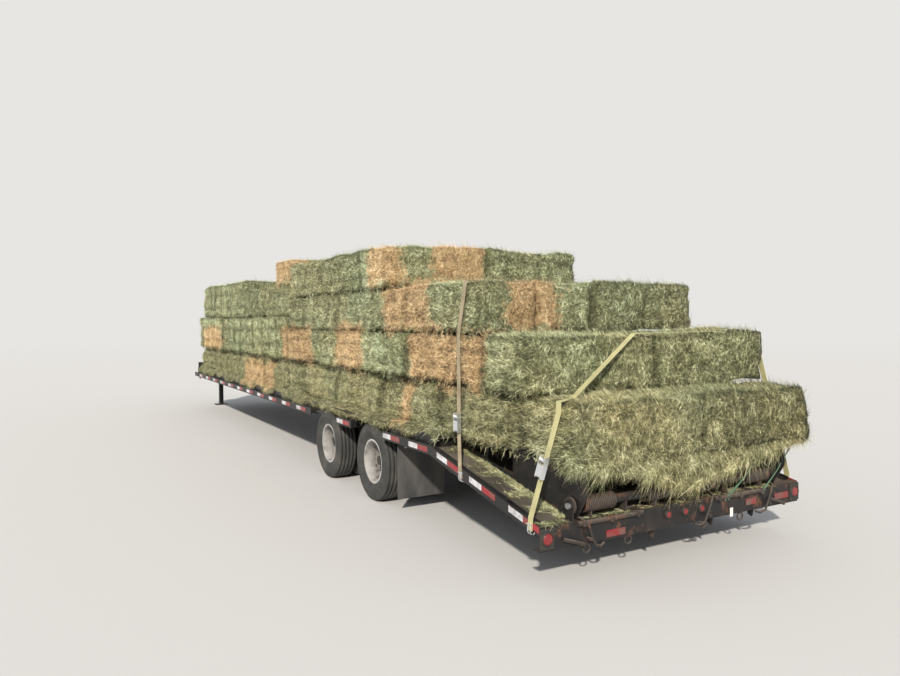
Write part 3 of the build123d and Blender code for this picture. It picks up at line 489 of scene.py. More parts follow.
def webbing(name, clean, soil, soiling):
    """A strap's finish: ribs across a coarse weave, soiled in patches."""
    finish = Finish(name, Roughness=0.75)
    ribs = finish.node("ShaderNodeTexWave", {"bands_direction": "X"},
                       {"Vector": finish.place, "Scale": 90.0, "Distortion": 0.6})
    soiled = finish.step(finish.noise(7.0, 6.0), 0.3, 0.8) * soiling + finish.noise(45.0) * 0.2
    colour = finish.mix(soiled.clamped(), clean, soil)
    finish.set("Base Color", finish.mix(ribs * 0.25, colour, rib_shadow))
    finish.bump(ribs, 0.3, 0.001)
    return finish.material


def mottled(name, scale, first, second, **sockets):
    """A finish whose colour drifts between two as noise does."""
    finish = Finish(name, **sockets)
    finish.set("Base Color", finish.mix(finish.noise(scale), first, second))
    return finish


old_webbing = webbing("old_webbing", (0.44, 0.37, 0.24), (0.22, 0.175, 0.105), 0.9)
yellow_webbing = webbing("yellow_webbing", (0.62, 0.58, 0.29), (0.36, 0.32, 0.17), 0.6)

lamp_red = mottled("lamp_red", 60.0, (0.15, 0.006, 0.007), (0.26, 0.014, 0.013), Roughness=0.18,
                   Coat_Weight=0.6)
zinc_steel = mottled("zinc_steel", 25.0, (0.62, 0.64, 0.66), (0.86, 0.87, 0.88), Metallic=0.9)
zinc_steel.set("Roughness", zinc_steel.noise(60.0) * 0.3 + 0.25)

axle_xs = {"rear": 2.78, "front": 4.0}
for end in axle_xs:
    for _, side in left_right:
        paint(f"tyres_{end}_{side}", tyre_rubber.material)
        paint(f"rims_{end}_{side}", rim_paint.material)
        paint(f"hub_{end}_{side}", hub_paint)
paint("mud_flaps", flap_rubber.material)
paint("tail_lights", lamp_red.material)
paint("strap_front", old_webbing)
paint("strap_rear", yellow_webbing)
paint("strap_ratchets", zinc_steel.material)
print("materials", len(bpy.data.materials))

# %% [markdown]
# Hay shows two things at once: the block of the bale, and the blades on its skin. Sun bleaches whatever
# face stood outermost in the stack, so some bale faces are straw-coloured while the rest stay green. The
# bleached places are boxes along the trailer, as seen in the photograph, and both the bales and their
# blades read the same boxes, with noise to fray their edges.

# %% Hay colours
hay_greens = ((0.0, (0.018, 0.019, 0.009)), (0.25, (0.085, 0.084, 0.038)), (0.5, (0.24, 0.233, 0.122)),
              (0.75, (0.48, 0.46, 0.28)), (1.0, (0.88, 0.84, 0.62)))
hay_straws = ((0.0, (0.07, 0.038, 0.016)), (0.25, (0.27, 0.165, 0.072)), (0.55, (0.62, 0.425, 0.205)),
              (1.0, (1.0, 0.80, 0.50)))
low_hues = ((0.32, (0.86, 0.92, 0.82)), (0.5, (0.91, 0.90, 0.765)), (0.68, (0.97, 0.90, 0.72)))
high_hues = ((0.32, (0.97, 1.12, 1.04)), (0.5, (1.02, 1.11, 1.00)), (0.68, (1.10, 1.10, 0.96)))
hue_change = (1.15, 1.32)      # heights between which the lowest layer's yellower hay gives way
third_layer = (1.60, 1.74)     # heights over which the hay grows a little paler, as it stands in the sun
frays = ((4.5, 2.0, 0.30), (22.0, 3.0, 0.28))    # scale and detail of two noises, and how far each moves
fade = 0.035                   # half the width over which a bleached place's edge fades
bleached_places = (
    # low (x, y, z) and high (x, y, z) of each bleached face, along the trailer
    ((0.86, 0.8, 1.22), (2.03, 1.4, 1.66)),
    ((0.70, 0.36, 1.66), (1.45, 0.87, 2.20)),
    ((1.77, 0.7, 1.66), (2.68, 1.4, 2.14)),
    ((2.40, 0.04, 2.10), (3.10, 0.63, 2.70)),
    ((2.40, 0.98, 2.10), (3.0, 1.4, 2.52)),
    ((2.08, 0.9, 0.78), (2.27, 1.4, 1.22)),
    ((3.1, 0.9, 1.22), (3.9, 1.4, 1.72)),
    ((4.75, 0.9, 1.22), (5.9, 1.4, 1.68)),
    ((6.3, 0.9, 0.78), (7.95, 1.4, 1.14)),
    ((5.6, 0.9, 2.25), (6.3, 1.4, 2.6)),
    ((9.5, 0.9, 1.25), (11.0, 1.4, 1.62)),
    ((2.4, -1.4, 1.22), (3.5, -0.7, 1.66)),
    ((6.9, -1.4, 1.22), (7.5, -0.7, 1.82)),
    ((4.6, -1.4, 1.64), (5.7, -0.9, 2.25)),
    ((9.0, -1.4, 0.78), (10.2, -0.8, 1.24)),
    ((11.0, -0.6, 1.4), (11.8, 0.2, 1.84)),
)


def hay_finish(name, shade):
    """Hay's colour at every place, from the tint attribute, slow noise and the bleached places; a shade below
    1 darkens it as painted shade.
    """
    finish = Finish(name, Roughness=0.75)
    frayed = finish.place
    for scale, detail, width in frays:
        frayed = finish.node("ShaderNodeVectorMath", {"operation": "MULTIPLY_ADD"},
                             {0: finish.coloured_noise(scale, detail), 1: (width,) * 3, 2: frayed})
    middle = sum(width for _, _, width in frays) / 2
    parts = [part - middle for part in finish.split(frayed)]
    bleached = None
    for low, high in bleached_places:
        inside = None
        for part, near, far in zip(parts, at(*low), at(*high)):
            both = (part - near).least(far - part)
            inside = both if inside is None else inside.least(both)
        bleached = inside if bleached is None else bleached.most(inside)
    bleached = finish.step(bleached, -fade, fade)
    tint = finish.node("ShaderNodeAttribute", {"attribute_name": "tint"}, output="Fac")
    clouds = finish.step(finish.noise(3.0, 3.0), 0.3, 0.7)
    clumps = finish.step(finish.noise(11.0, 3.0), 0.32, 0.68)
    tufts = finish.step(finish.noise(40.0, 3.0), 0.34, 0.66)
    up = finish.split(finish.place)[2]
    sunlit = finish.step(up, *third_layer) * 0.045
    value = (tint * 0.45 + clouds * 0.10 + clumps * 0.26 + tufts * 0.32 + sunlit - 0.09) * shade
    patches = finish.noise(1.3, 4.0)
    higher = finish.step(up, *hue_change)
    hue = finish.mix(higher, finish.colours(patches, *low_hues), finish.colours(patches, *high_hues))
    green = finish.mix(1.0, finish.colours(value, *hay_greens), hue, "MULTIPLY")
    return finish, finish.mix(bleached, green, finish.colours(value, *hay_straws))


blade_finish, blade_colour = hay_finish("hay_blades", 1.0)
blade_finish.set("Base Color", blade_colour)
# painted shade: the bales' skin is darker than the blades, so the gaps between blades look shaded
bale_finish, bale_colour = hay_finish("hay_bales", 0.74)
streaks = bale_finish.noise(1.0, 5.0, bale_finish.stretched((170.0, 170.0, 26.0)), 0.7)
crossing = bale_finish.noise(1.0, 5.0, bale_finish.stretched((30.0, 30.0, 190.0)), 0.7)
fibres = streaks.most(crossing)
dry_stalk = (0.55, 0.50, 0.29)
stalk_colour = bale_finish.mix(0.6, bale_colour, dry_stalk)
bale_finish.set("Base Color", bale_finish.mix(bale_finish.step(fibres, 0.48, 0.7) * 0.8, bale_colour,
                                              stalk_colour))
bale_finish.bump(fibres, 1.0, 0.03)
print("bleached places", len(bleached_places))

# %% [markdown]
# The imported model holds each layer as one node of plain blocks. Walking along the edges from corner to
# corner sorts it into single blocks again. A few probes in front of a block's faces tell which of them
# air reaches: the rest lie against another bale or on the deck, and need no detail.

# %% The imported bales
covered_reach = 0.10           # how far in front of a face the probes lie


def solids_of(node):
    """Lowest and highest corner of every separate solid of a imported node."""
    work = bmesh.new()
    work.from_mesh(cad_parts[node].data)
    bmesh.ops.remove_doubles(work, verts=work.verts, dist=1e-5)
    found, seen = [], set()
    for start in work.verts:
        if start.index in seen:
            continue
        seen.add(start.index)
        group, waiting = [], [start]
        while waiting:
            corner = waiting.pop()
            group.append(tuple(corner.co))
            for edge in corner.link_edges:
                other = edge.other_vert(corner)
                if other.index not in seen:
                    seen.add(other.index)
                    waiting.append(other)
        points = np.array(group)
        found.append((points.min(0), points.max(0)))
    work.free()
    return found


def inside_any(points, boxes, margin=0.02):
    """Which of the points lie inside one of the boxes, or almost."""
    inside = np.zeros(len(points), bool)
    for low, high in boxes:
        inside |= ((points > low - margin) & (points < high + margin)).all(axis=1)
    return inside


def open_axes(low, high, others):
    """Whether air reaches a bale's faces along X, Y and Z, by probes in front of each face."""
    spread = np.array([(a, b) for a in (0.1, 0.5, 0.9) for b in (0.1, 0.5, 0.9)])
    found = []
    for axis in range(3):
        probes = []
        for end in (low[axis] - covered_reach, high[axis] + covered_reach):
            spots = np.empty((len(spread), 3))
            spots[:, axis] = end
            for column, other in enumerate(i for i in range(3) if i != axis):
                spots[:, other] = low[other] + (high[other] - low[other]) * spread[:, column]
            probes.append(spots)
        found.append(not inside_any(np.concatenate(probes), others).all())
    return found


hay_layers = [f"hay_layer_{i}" for i in range(1, 5)]
bales = {layer: solids_of(layer) for layer in hay_layers}
all_bales = [bale for layer in hay_layers for bale in bales[layer]]
under_deck = (np.array(at(-0.08, -1.2, 0)), np.array(at(11.6, 1.2, deck_top - 0.01)))
print("bales", len(all_bales))

# %% [markdown]
# A bale is a packed block whose corners have rounded and whose faces bulge between its strings. Each one
# is a box divided into a lattice, rounded at its corners and pushed about by noise, which is the quickest
# way to get 138 bales that all differ. The lattice is fine only along faces that air reaches. The blades
# read four numbers that the bales carry: how open a face is, a tint for each bale, how high up its bale a
# point lies, and how far it is from the bale's edges. The last two also tell where the blades get painted
# shade.

# %% Bale shapes
fine_cell = 0.057
coarse_cell = 0.24
corner_radii = (0.02, 0.055)
noise_steps = ((1.7, 0.036), (5.0, 0.030), (13.0, 0.012))     # times a metre, height in metres
shift_most = 0.018
turn_most = 0.022              # how far a bale has turned where it lies, in radians
swell = (0.014, -0.010, -0.010)     # bales are pressed together end to end
crease_levels = (0.3, 0.68)    # of a bale's height, where its strings bite
crease_half = 0.03
crease_depth = 0.012
crease_width = 0.06
lean_out = 0.035               # how far layer 2 leans out
hollow_from = 1.10             # height where layer 1's hollows start
hollow_depth = 0.075


def lattice_box(counts):
    """Corners, from 0 to 1 each way, and faces of a box divided counts times along each axis."""
    corners, faces = {}, []
    for axis in range(3):
        u, v = (axis + 1) % 3, (axis + 2) % 3
        for end in (0, counts[axis]):
            for i in range(counts[u]):
                for j in range(counts[v]):
                    face = []
                    for di, dj in ((0, 0), (1, 0), (1, 1), (0, 1)):
                        spot = [0, 0, 0]
                        spot[axis], spot[u], spot[v] = end, i + di, j + dj
                        face.append(corners.setdefault(tuple(spot), len(corners)))
                    faces.append(face if end else face[::-1])
    return np.array(list(corners)) / np.array(counts), np.array(faces)


def bale_points(low, high, corners, chance):
    """Rounds a lattice box to a bale between low and high, and lumps it with noise."""
    centre, half = (low + high) / 2, (high - low) / 2
    radius = chance.uniform(*corner_radii)
    points = (corners * 2 - 1) * half
    held = np.clip(points, radius - half, half - radius)
    out = points - held
    length = np.linalg.norm(out, axis=1, keepdims=True)
    normal = out / np.maximum(length, 1e-9)
    shift = (chance.random(3) * 2 - 1) * shift_most * (1, 1, 0.3)
    turn = np.array(Euler((chance.random(3) * 2 - 1) * turn_most * (0.5, 0.5, 1)).to_matrix())
    points = (held + normal * radius) @ turn.T + centre
    normal = normal @ turn.T
    height = np.zeros(len(points))
    for times, size in noise_steps:
        height += [noise.noise(Vector(point * times)) * size for point in points]
    for level in crease_levels:
        height -= crease_depth * np.exp(-((corners[:, 2] - level) / crease_width) ** 2)
    return points + normal * (height[:, None] + swell) + shift


strap_x = sum(corner.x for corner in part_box("strap_front")) / 2


def slumped(points, layer):
    """Layer 2 leans out over layer 1, whose upper edges are crushed into hollows under it."""
    for point in points:
        side = math.copysign(1.0, point[1])
        outer = min(max((abs(point[1]) - 0.9) / 0.2, 0.0), 1.0)
        wave = noise.noise(Vector((point[0] * 1.9, side * 3.0, 0.0)))
        if layer == "hay_layer_2":
            free = min(max(abs(point[0] - strap_x) - 0.25, 0.0) / 0.3, 1.0)
            point[1] += side * outer * free * (lean_out + 0.03 * wave)
        elif layer == "hay_layer_1":
            upper = min(max((point[2] - hollow_from) / 0.08, 0.0), 1.0)
            point[1] -= side * outer * upper * hollow_depth * min(max(wave * 4 + 0.5, 0.0), 1.0)
    return points


# %% Bale meshes
bale_chance = np.random.default_rng(11)
near_end = (2.6, 5.0)          # blades are densest behind this stretch, which is seen closest
far_share = 0.62
tint_most = 0.6                # of the palest bale, added to its blades' own


def carry(mesh, domain, **numbers):
    """Stores numbers by name, one for each face or point of a mesh."""
    for name, values in numbers.items():
        mesh.attributes.new(name, "FLOAT", domain).data.foreach_set("value", values)


def bale_mesh(layer):
    """All bales of a layer in one mesh, with the numbers that the blades read."""
    corners, faces, air, tints, levels, edges = [], [], [], [], [], []
    for low, high in bales[layer]:
        others = [box for box in all_bales if box[0] is not low] + [under_deck]
        opened = open_axes(low, high, others)
        counts = []
        for axis in range(3):
            fine = any(opened[other] for other in range(3) if other != axis)
            counts.append(max(2, round((high - low)[axis] / (fine_cell if fine else coarse_cell))))
        spots, squares = lattice_box(counts)
        points = slumped(bale_points(low, high, spots, bale_chance), layer)
        flat = spots[squares].mean(axis=1) * 2 - 1
        normals = np.where(np.abs(flat) > 1 - 1e-6, np.sign(flat), 0)
        probes = low + (high - low) * spots[squares].mean(axis=1) + normals * covered_reach
        faces += (squares + len(corners)).tolist()
        corners += points.tolist()
        away = np.clip((probes[:, 0] - at(near_end[0], 0, 0).x) / (near_end[1] - near_end[0]), 0, 1)
        air += (~inside_any(probes, others) * (1 + (far_share - 1) * away)).tolist()
        tints += [tint_most * bale_chance.random()] * len(spots)
        levels += spots[:, 2].tolist()
        edges += np.sort(np.minimum(spots, 1 - spots) * (high - low), axis=1)[:, 1].tolist()
    mesh = mesh_of(layer + "_bales", corners, faces)
    carry(mesh, "FACE", air=air)
    carry(mesh, "POINT", tint=tints, level=levels, edge=edges)
    return mesh


bale_pieces = {}
for layer in hay_layers:
    made = piece(layer + "_bales", bale_mesh(layer), bale_finish.material, smooth=True)
    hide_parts(layer)
    bale_pieces[layer] = made

# %% [markdown]
# Geometry nodes make whatever repeats. A tree has named inputs for its sizes, and a modifier on a host
# mesh runs it once. The result is copied out as a plain mesh, and the host is thrown away.


# %% Trees that grow pieces
def geometry_tree(name, sockets):
    """A geometry node tree with a geometry input and other named inputs."""
    tree = bpy.data.node_groups.new(name, "GeometryNodeTree")
    tree.interface.new_socket("Geometry", in_out="INPUT", socket_type="NodeSocketGeometry")
    for label, kind in sockets:
        tree.interface.new_socket(label, in_out="INPUT", socket_type="NodeSocket" + kind)
    tree.interface.new_socket("Geometry", in_out="OUTPUT", socket_type="NodeSocketGeometry")
    return tree


def grow(name, mesh, tree, values, body="chassis"):
    """Runs a tree on a copy of a mesh, and makes the result a plain piece."""
    host = added(name + "_host", mesh.copy())
    modifier = host.modifiers.new("grow", "NODES")
    modifier.node_group = tree
    for item in tree.interface.items_tree:
        if item.in_out == "INPUT" and item.name in values:
            modifier[item.identifier] = values[item.name]
    bpy.context.view_layer.update()
    evaluated = host.evaluated_get(bpy.context.evaluated_depsgraph_get())
    grown = bpy.data.meshes.new_from_object(evaluated)
    bpy.data.objects.remove(host)
    return piece(name, grown, None, body)


def given_inputs(tree):
    """A group's inputs, by name."""
    entry = tree.nodes.new("NodeGroupInput")
    return {socket.name: Term(tree, socket) for socket in entry.outputs if socket.name}


def hand_over(graph, geometry, given):
    """Gives a tree's geometry its finish and sends it out."""
    done = graph.node("GeometryNodeSetMaterial", None, {"Geometry": geometry, "Material": given["Finish"]})
    feed(graph.tree, graph.tree.nodes.new("NodeGroupOutput").inputs[0], done)


# %% [markdown]
# The blades are one thin leaf, scattered over the bales. Points are spread on the faces that air reaches,
# and thinned out along the strings' creases and under the straps. Each leaf lies along the skin, its
# heading read from a swirling noise so that neighbours form tufts, and is rolled, tilted and tinted at
# random. Near a bale's edges and a string's crease its tint is darkened as painted shade. Realizing the
# instances makes one plain mesh.

# %% Blade tree
blade_mesh = mesh_of("blade", [(0, -0.5, 0), (0.06, 0.5, 0), (1, 0.1, 0)], [(0, 1, 2)])
blade_shape = bpy.data.objects.new("blade_shape", blade_mesh)
blade_tree = geometry_tree("blades", [
    ("Density", "Float"), ("Length", "Float"), ("Width", "Float"), ("Swirl", "Float"),
    ("Stray", "Float"), ("Tilt", "Float"), ("Roll", "Float"), ("Along", "Vector"), ("Seed", "Int"),
    ("Blade", "Object"), ("Strap 1", "Object"), ("Strap 2", "Object"), ("Finish", "Material")])
strap_clear = 0.042            # most blades this near to a strap are left out, so that it shows
shade_reach = 0.055            # metres from a bale's edge over which its blades are darkened with painted shade
crease_shade = 0.09            # the same painted shade at a string's crease, as a share of the bale's height


def build_blades(tree):
    """Scatters, turns, sizes and tints the blades."""
    graph, given = Graph(tree), given_inputs(tree)

    def carried(name):
        return graph.node("GeometryNodeInputNamedAttribute", {"data_type": "FLOAT"}, {"Name": name})

    def chance(seed):
        node = tree.nodes.new("FunctionNodeRandomValue")
        node.data_type = "FLOAT"
        seed_slot = next(slot for slot in node.inputs if slot.enabled and slot.name == "Seed")
        feed(tree, seed_slot, given["Seed"] + seed)
        return Term(tree, next(slot for slot in node.outputs if slot.enabled))

    scatter = tree.nodes.new("GeometryNodeDistributePointsOnFaces")
    feed(tree, scatter.inputs["Mesh"], given["Geometry"])
    feed(tree, scatter.inputs["Density"], carried("air") * given["Density"])
    feed(tree, scatter.inputs["Seed"], given["Seed"])
    points, normal = Term(tree, scatter.outputs["Points"]), Term(tree, scatter.outputs["Normal"])
    place = graph.node("GeometryNodeInputPosition")
    level, keep = carried("level"), chance(7)
    crease = None
    for middle in crease_levels:
        near = (level - middle).maths("ABSOLUTE", 0.0)
        crease = near if crease is None else crease.least(near)
    thinned = crease.maths("LESS_THAN", crease_half) * keep.maths("GREATER_THAN", 0.3)
    for label in ("Strap 1", "Strap 2"):
        strap = graph.node("GeometryNodeObjectInfo", None, {"Object": given[label]}, output="Geometry")
        gap = graph.node("GeometryNodeProximity", {"target_element": "FACES"},
                         {"Target": strap, "Source Position": place}, output="Distance")
        thinned = thinned.most(gap.maths("LESS_THAN", strap_clear) * keep.maths("GREATER_THAN", 0.12))
    points = graph.node("GeometryNodeDeleteGeometry", {"domain": "POINT"},
                        {"Geometry": points, "Selection": thinned})

    def field(scale):
        return graph.node("ShaderNodeTexNoise", None, {"Vector": place, "Scale": scale, "Detail": 2.0})

    lying = graph.node("FunctionNodeAxesToRotation", {"primary_axis": "Z", "secondary_axis": "X"},
                       {"Primary Axis": normal, "Secondary Axis": given["Along"]})
    spin = (field(11.0) - 0.5) * given["Swirl"] + (chance(1) - 0.5) * given["Stray"]
    tilt = (chance(2) ** 2.0) * given["Tilt"] * -1.0
    roll = (chance(6) - 0.5) * given["Roll"]
    turn = graph.node("ShaderNodeCombineXYZ", None, {"X": roll, "Y": tilt, "Z": spin})
    turned = graph.node("FunctionNodeEulerToRotation", None, {0: turn})
    rotation = graph.node("FunctionNodeRotateRotation", {"rotation_space": "LOCAL"},
                          {0: lying, 1: turned})
    longer = chance(3) ** 4.0
    length = given["Length"] * (longer * 1.7 + 0.55)
    width = given["Width"] * (chance(4) + 0.5) * (1.0 - longer * 0.45)
    scale = graph.node("ShaderNodeCombineXYZ", None, {"X": length, "Y": width, "Z": length})
    shaded = graph.node("ShaderNodeMapRange", {"interpolation_type": "SMOOTHSTEP"},
                        {"Value": carried("edge"), "From Min": 0.0, "From Max": shade_reach})
    crease_painted_shade = 1.0 - (crease * (1 / crease_shade)).clamped()
    # painted shade: blades near a bale's edge or a string's crease are darker; the rest of the tint varies at
    # random and with length
    tint = chance(5) * 1.1 + carried("tint") * 0.5 - (1.0 - shaded) * 0.75 - crease_painted_shade * 0.3 + longer * 0.35
    tinted = graph.node("GeometryNodeStoreNamedAttribute", {"data_type": "FLOAT", "domain": "POINT"},
                        {"Geometry": points, "Name": "tint", "Value": tint})
    blade = graph.node("GeometryNodeObjectInfo", None, {"Object": given["Blade"]}, output="Geometry")
    placed = graph.node("GeometryNodeInstanceOnPoints", None,
                        {"Points": tinted, "Instance": blade, "Rotation": rotation, "Scale": scale})
    hand_over(graph, graph.node("GeometryNodeRealizeInstances", None, {"Geometry": placed}), given)


build_blades(blade_tree)
print("blade tree nodes", len(blade_tree.nodes))

# %% Blades on the bales
blades_a_layer = (180000, 172000, 152000, 86000)
lowest_blade = 0.15
hay_blade = {"Length": 0.060, "Width": 0.0040, "Swirl": 6.0, "Stray": 2.4, "Tilt": 0.7, "Roll": 1.4,
             "Along": (1.0, 0.6, 0.15), "Blade": blade_shape, "Strap 1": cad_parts["strap_front"],
             "Strap 2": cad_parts["strap_rear"], "Finish": blade_finish.material}
stand_out = Vector((0.2, 0.05, 0.055))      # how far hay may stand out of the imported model's box


def open_area(mesh):
    """Square metres of the faces that air reaches."""
    air = np.empty(len(mesh.polygons))
    mesh.attributes["air"].data.foreach_get("value", air)
    areas = np.empty(len(mesh.polygons))
    mesh.polygons.foreach_get("area", areas)
    return float((air * areas).sum())


def add_blades(name, mesh, count, seed, style=None, **changes):
    """Grows about count blades on a mesh that carries air, tint, level and edge."""
    density = count / 1 / open_area(mesh)
    values = {**hay_blade, "Density": density, "Seed": seed, **(style or {}), **changes}
    made = grow(name, mesh, blade_tree, values)
    places = np.empty(len(made.data.vertices) * 3)
    made.data.vertices.foreach_get("co", places)
    places = np.clip(places.reshape(-1, 3), Vector(cad_low) - stand_out, Vector(cad_high) + stand_out)
    places[:, 2] = np.maximum(places[:, 2], lowest_blade)
    made.data.vertices.foreach_set("co", places.ravel())


for i, layer in enumerate(hay_layers):
    add_blades(layer + "_blades", bale_pieces[layer].data, blades_a_layer[i], 40 + 10 * i)

# %% [markdown]
# Hay never stays where it was stacked. The rear bales sag over the ramps and hang in a ragged skirt, and
# loose stalks lie along the deck's edge, on the dovetail and on the bumper. What hangs in a mass is a lumpy
# shell, lofted through sections, with blades that hang down. Loose stalks are the same blades, scattered
# over thin patches of the steel below, and the patches themselves are thrown away.


# %% Helpers for loose hay
def lofted(rings):
    """Corners and faces of a closed skin round sections with equal numbers of corners."""
    sides = len(rings[0])
    corners = [corner for section in rings for corner in section]
    faces = []
    for first in range(0, len(corners) - sides, sides):
        for j in range(sides):
            k = (j + 1) % sides
            faces.append((first + j, first + k, first + sides + k, first + sides + j))
    faces.append(tuple(range(sides))[::-1])
    faces.append(tuple(range(len(corners) - sides, len(corners))))
    return corners, faces


def recalculated(mesh):
    """Turns every face of a closed mesh outwards."""
    work = bmesh.new()
    work.from_mesh(mesh)
    bmesh.ops.recalc_face_normals(work, faces=work.faces)
    work.to_mesh(mesh)
    work.free()
    return mesh


def hay_host(mesh, air=None, tint=0.35):
    """Gives a mesh the numbers that the blades read."""
    points = len(mesh.vertices)
    carry(mesh, "FACE", air=air or [1.0] * len(mesh.polygons))
    carry(mesh, "POINT", tint=[tint] * points, level=[0.5] * points, edge=[1.0] * points)
    return mesh


def patch(name, start, along, across, steps, patchiness=0.0, seed=0):
    """A thin strip to scatter loose hay on, thicker in some places than in others."""
    corners, faces, air = [], [], []
    for i in range(steps + 1):
        corners += [start + along * (i / steps) + across * j for j in range(2)]
        if i:
            first = 2 * i - 2
            faces.append((first, first + 2, first + 3, first + 1))
            drift = noise.noise(Vector((i * 0.37 + seed, seed * 1.7, 0)))
            air.append(max(0.0, 1.0 - patchiness * (0.9 - 1.9 * drift)))
    return hay_host(mesh_of(name, corners, faces), air)


# %% The skirt under the rear bales
skirt_bottom = ((-1.17, 0.79), (-0.95, 0.765), (-0.70, 0.735), (-0.45, 0.69), (-0.2, 0.62), (0.0, 0.575),
                (0.15, 0.575), (0.3, 0.62), (0.5, 0.70), (0.75, 0.745), (1.0, 0.775), (1.17, 0.80))
# along the trailer, up, and how much of the sag above a point takes part in
skirt_section = ((-0.04, 0.95, 0.0), (-0.10, 0.93, 0.0), (-0.148, 0.88, 0.0), (-0.165, 0.83, 0.0),
                 (-0.165, 0.78, 0.35), (-0.15, 0.72, 0.7), (-0.12, 0.69, 1.0), (-0.08, 0.70, 1.0),
                 (-0.05, 0.75, 0.7), (-0.03, 0.80, 0.3), (-0.02, 0.88, 0.0))
skirt_level = 0.70             # the section's own bottom, which the table above moves
skirt_stations = 61
skirt_half = 1.165
fringe_height = 0.07


def skirt_bottom_at(y):
    """Height of the skirt's lower edge."""
    return float(np.interp(y, *zip(*skirt_bottom)))


def loose_skirt():
    """Corners and faces of the sagging skirt under the rear edge of the load."""
    rings = []
    for i in range(skirt_stations):
        y = -skirt_half + 2 * skirt_half * i / (skirt_stations - 1)
        sag = skirt_bottom_at(y) - skirt_level
        rings.append([])
        for x, z, share in skirt_section:
            point = at(x, y, z + sag * share)
            lump = noise.noise(point * 5.0) * 0.035 + noise.noise(point * 14.0) * 0.018
            rings[-1].append(point + Vector((-lump, 0, lump * 0.7)))
    return lofted(rings)


skirt_mesh = hay_host(recalculated(mesh_of("hay_skirt", *loose_skirt())))
piece("hay_skirt", skirt_mesh, bale_finish.material, smooth=True)
hanging = {"Along": (0.05, 0.3, -1.0), "Swirl": 5.0, "Stray": 2.6, "Tilt": 0.8}
add_blades("hay_skirt_blades", skirt_mesh, 42000, 81, hanging)
fringe_mesh = patch("fringe", at(-0.17, -1.0, 0.0), Vector((0, 2.0, 0)), Vector((0, 0, fringe_height)), 40,
                    0.9, 5)
for corner in fringe_mesh.vertices:
    corner.co.z += skirt_bottom_at(corner.co.y)
add_blades("hay_fringe", fringe_mesh, 1700, 83, hanging, Swirl=3.0, Stray=1.4, Tilt=0.5, Length=0.12,
           Width=0.0036)

# %% [markdown]
# Tufts hang from the lower edges of the bales, too. They grow on narrow faces along those edges, wherever
# air reaches the bale's side.


# %% Tufts along the bales' edges
def edge_host():
    """Narrow faces along the bottom edges of the bales that air reaches."""
    corners, faces = [], []
    for low, high in all_bales:
        others = [box for box in all_bales if box[0] is not low] + [under_deck]
        for axis in (0, 1):
            across = 1 - axis
            for end, out in ((low, -1), (high, 1)):
                probe = (low + high) / 2
                probe[axis] = end[axis] + out * covered_reach
                if inside_any(probe[None], others)[0]:
                    continue
                first = len(corners)
                for level in (low[2] - 0.012, low[2] + 0.05):
                    for reach in (low[across], high[across]):
                        corner = [0.0, 0.0, level]
                        corner[axis], corner[across] = end[axis] + out * 0.002, reach
                        corners.append(corner)
                flip = (out > 0) == (axis == 0)
                face = (first, first + 1, first + 3, first + 2)
                faces.append(face if flip else face[::-1])
    return hay_host(mesh_of("bale_edges", corners, faces))


add_blades("hay_edge_tufts", edge_host(), 13000, 87, hanging, Along=(0.35, 0.35, -1.0), Stray=2.2, Tilt=0.5,
           Length=0.045)

# %% [markdown]
# Along the deck's edge the hay has piled up in low heaps, which spill over the rail. Near the wheels they
# only cross the edge of the wheel covers, so that the tyres turn free of them.

# %% Heaps along the deck's edge
heap_section = ((0.0, 0.0), (0.0, 0.075), (0.045, 0.066), (0.085, 0.038), (0.110, -0.005), (0.135, -0.045),
                (0.150, -0.080), (0.125, -0.085), (0.104, -0.05), (0.085, -0.004))     # out, and up
heap_stations = 180
heap_start, heap_length = 1.46, 9.94
heap_face = 1.13               # where the heap starts, inside the lowest bales
heap_lip = 0.104               # how far out it can lie before it hangs
heap_over_wheels = 0.052       # how much further out it lies, over the wheel covers' edge
wheel_reach = 0.62             # how far from an axle the wheels still count
wheel_spill = 0.38             # how much of the heap's fall is left there
heap_blades = {1: 23000, -1: 12000}


def edge_heap(side):
    """A low ragged heap of hay on the deck's edge, which spills over the rail between the wheels."""
    rings = []
    for i in range(heap_stations):
        x = heap_start + heap_length * i / (heap_stations - 1)
        heap = min(max(0.62 + 1.2 * noise.noise(Vector((x * 1.2, side * 7.0, 0))), 0.15), 1.0)
        spill = min(max(0.62 + 1.6 * noise.noise(Vector((x * 2.1, side * 3.0, 5.0))), 0.0), 1.0)
        near = max(1.0 - min(abs(x - axle) for axle in axle_xs.values()) / wheel_reach, 0.0) ** 0.5
        spill = spill * (1.0 - near) + wheel_spill * near
        rings.append([])
        for out, up in heap_section:
            reach = heap_over_wheels * near if out > 0.08 else 0.0
            out = min(out, heap_lip) + max(out - heap_lip, 0.0) * spill + reach
            up = up * (heap if up > 0 else spill)
            point = at(x, side * (heap_face + out), deck_top + 0.003 + up)
            lump = noise.noise(point * 9.0) * 0.016 + noise.noise(point * 25.0) * 0.008
            rings[-1].append(point + Vector((0, side * lump * 0.5, lump)))
    return lofted(rings)


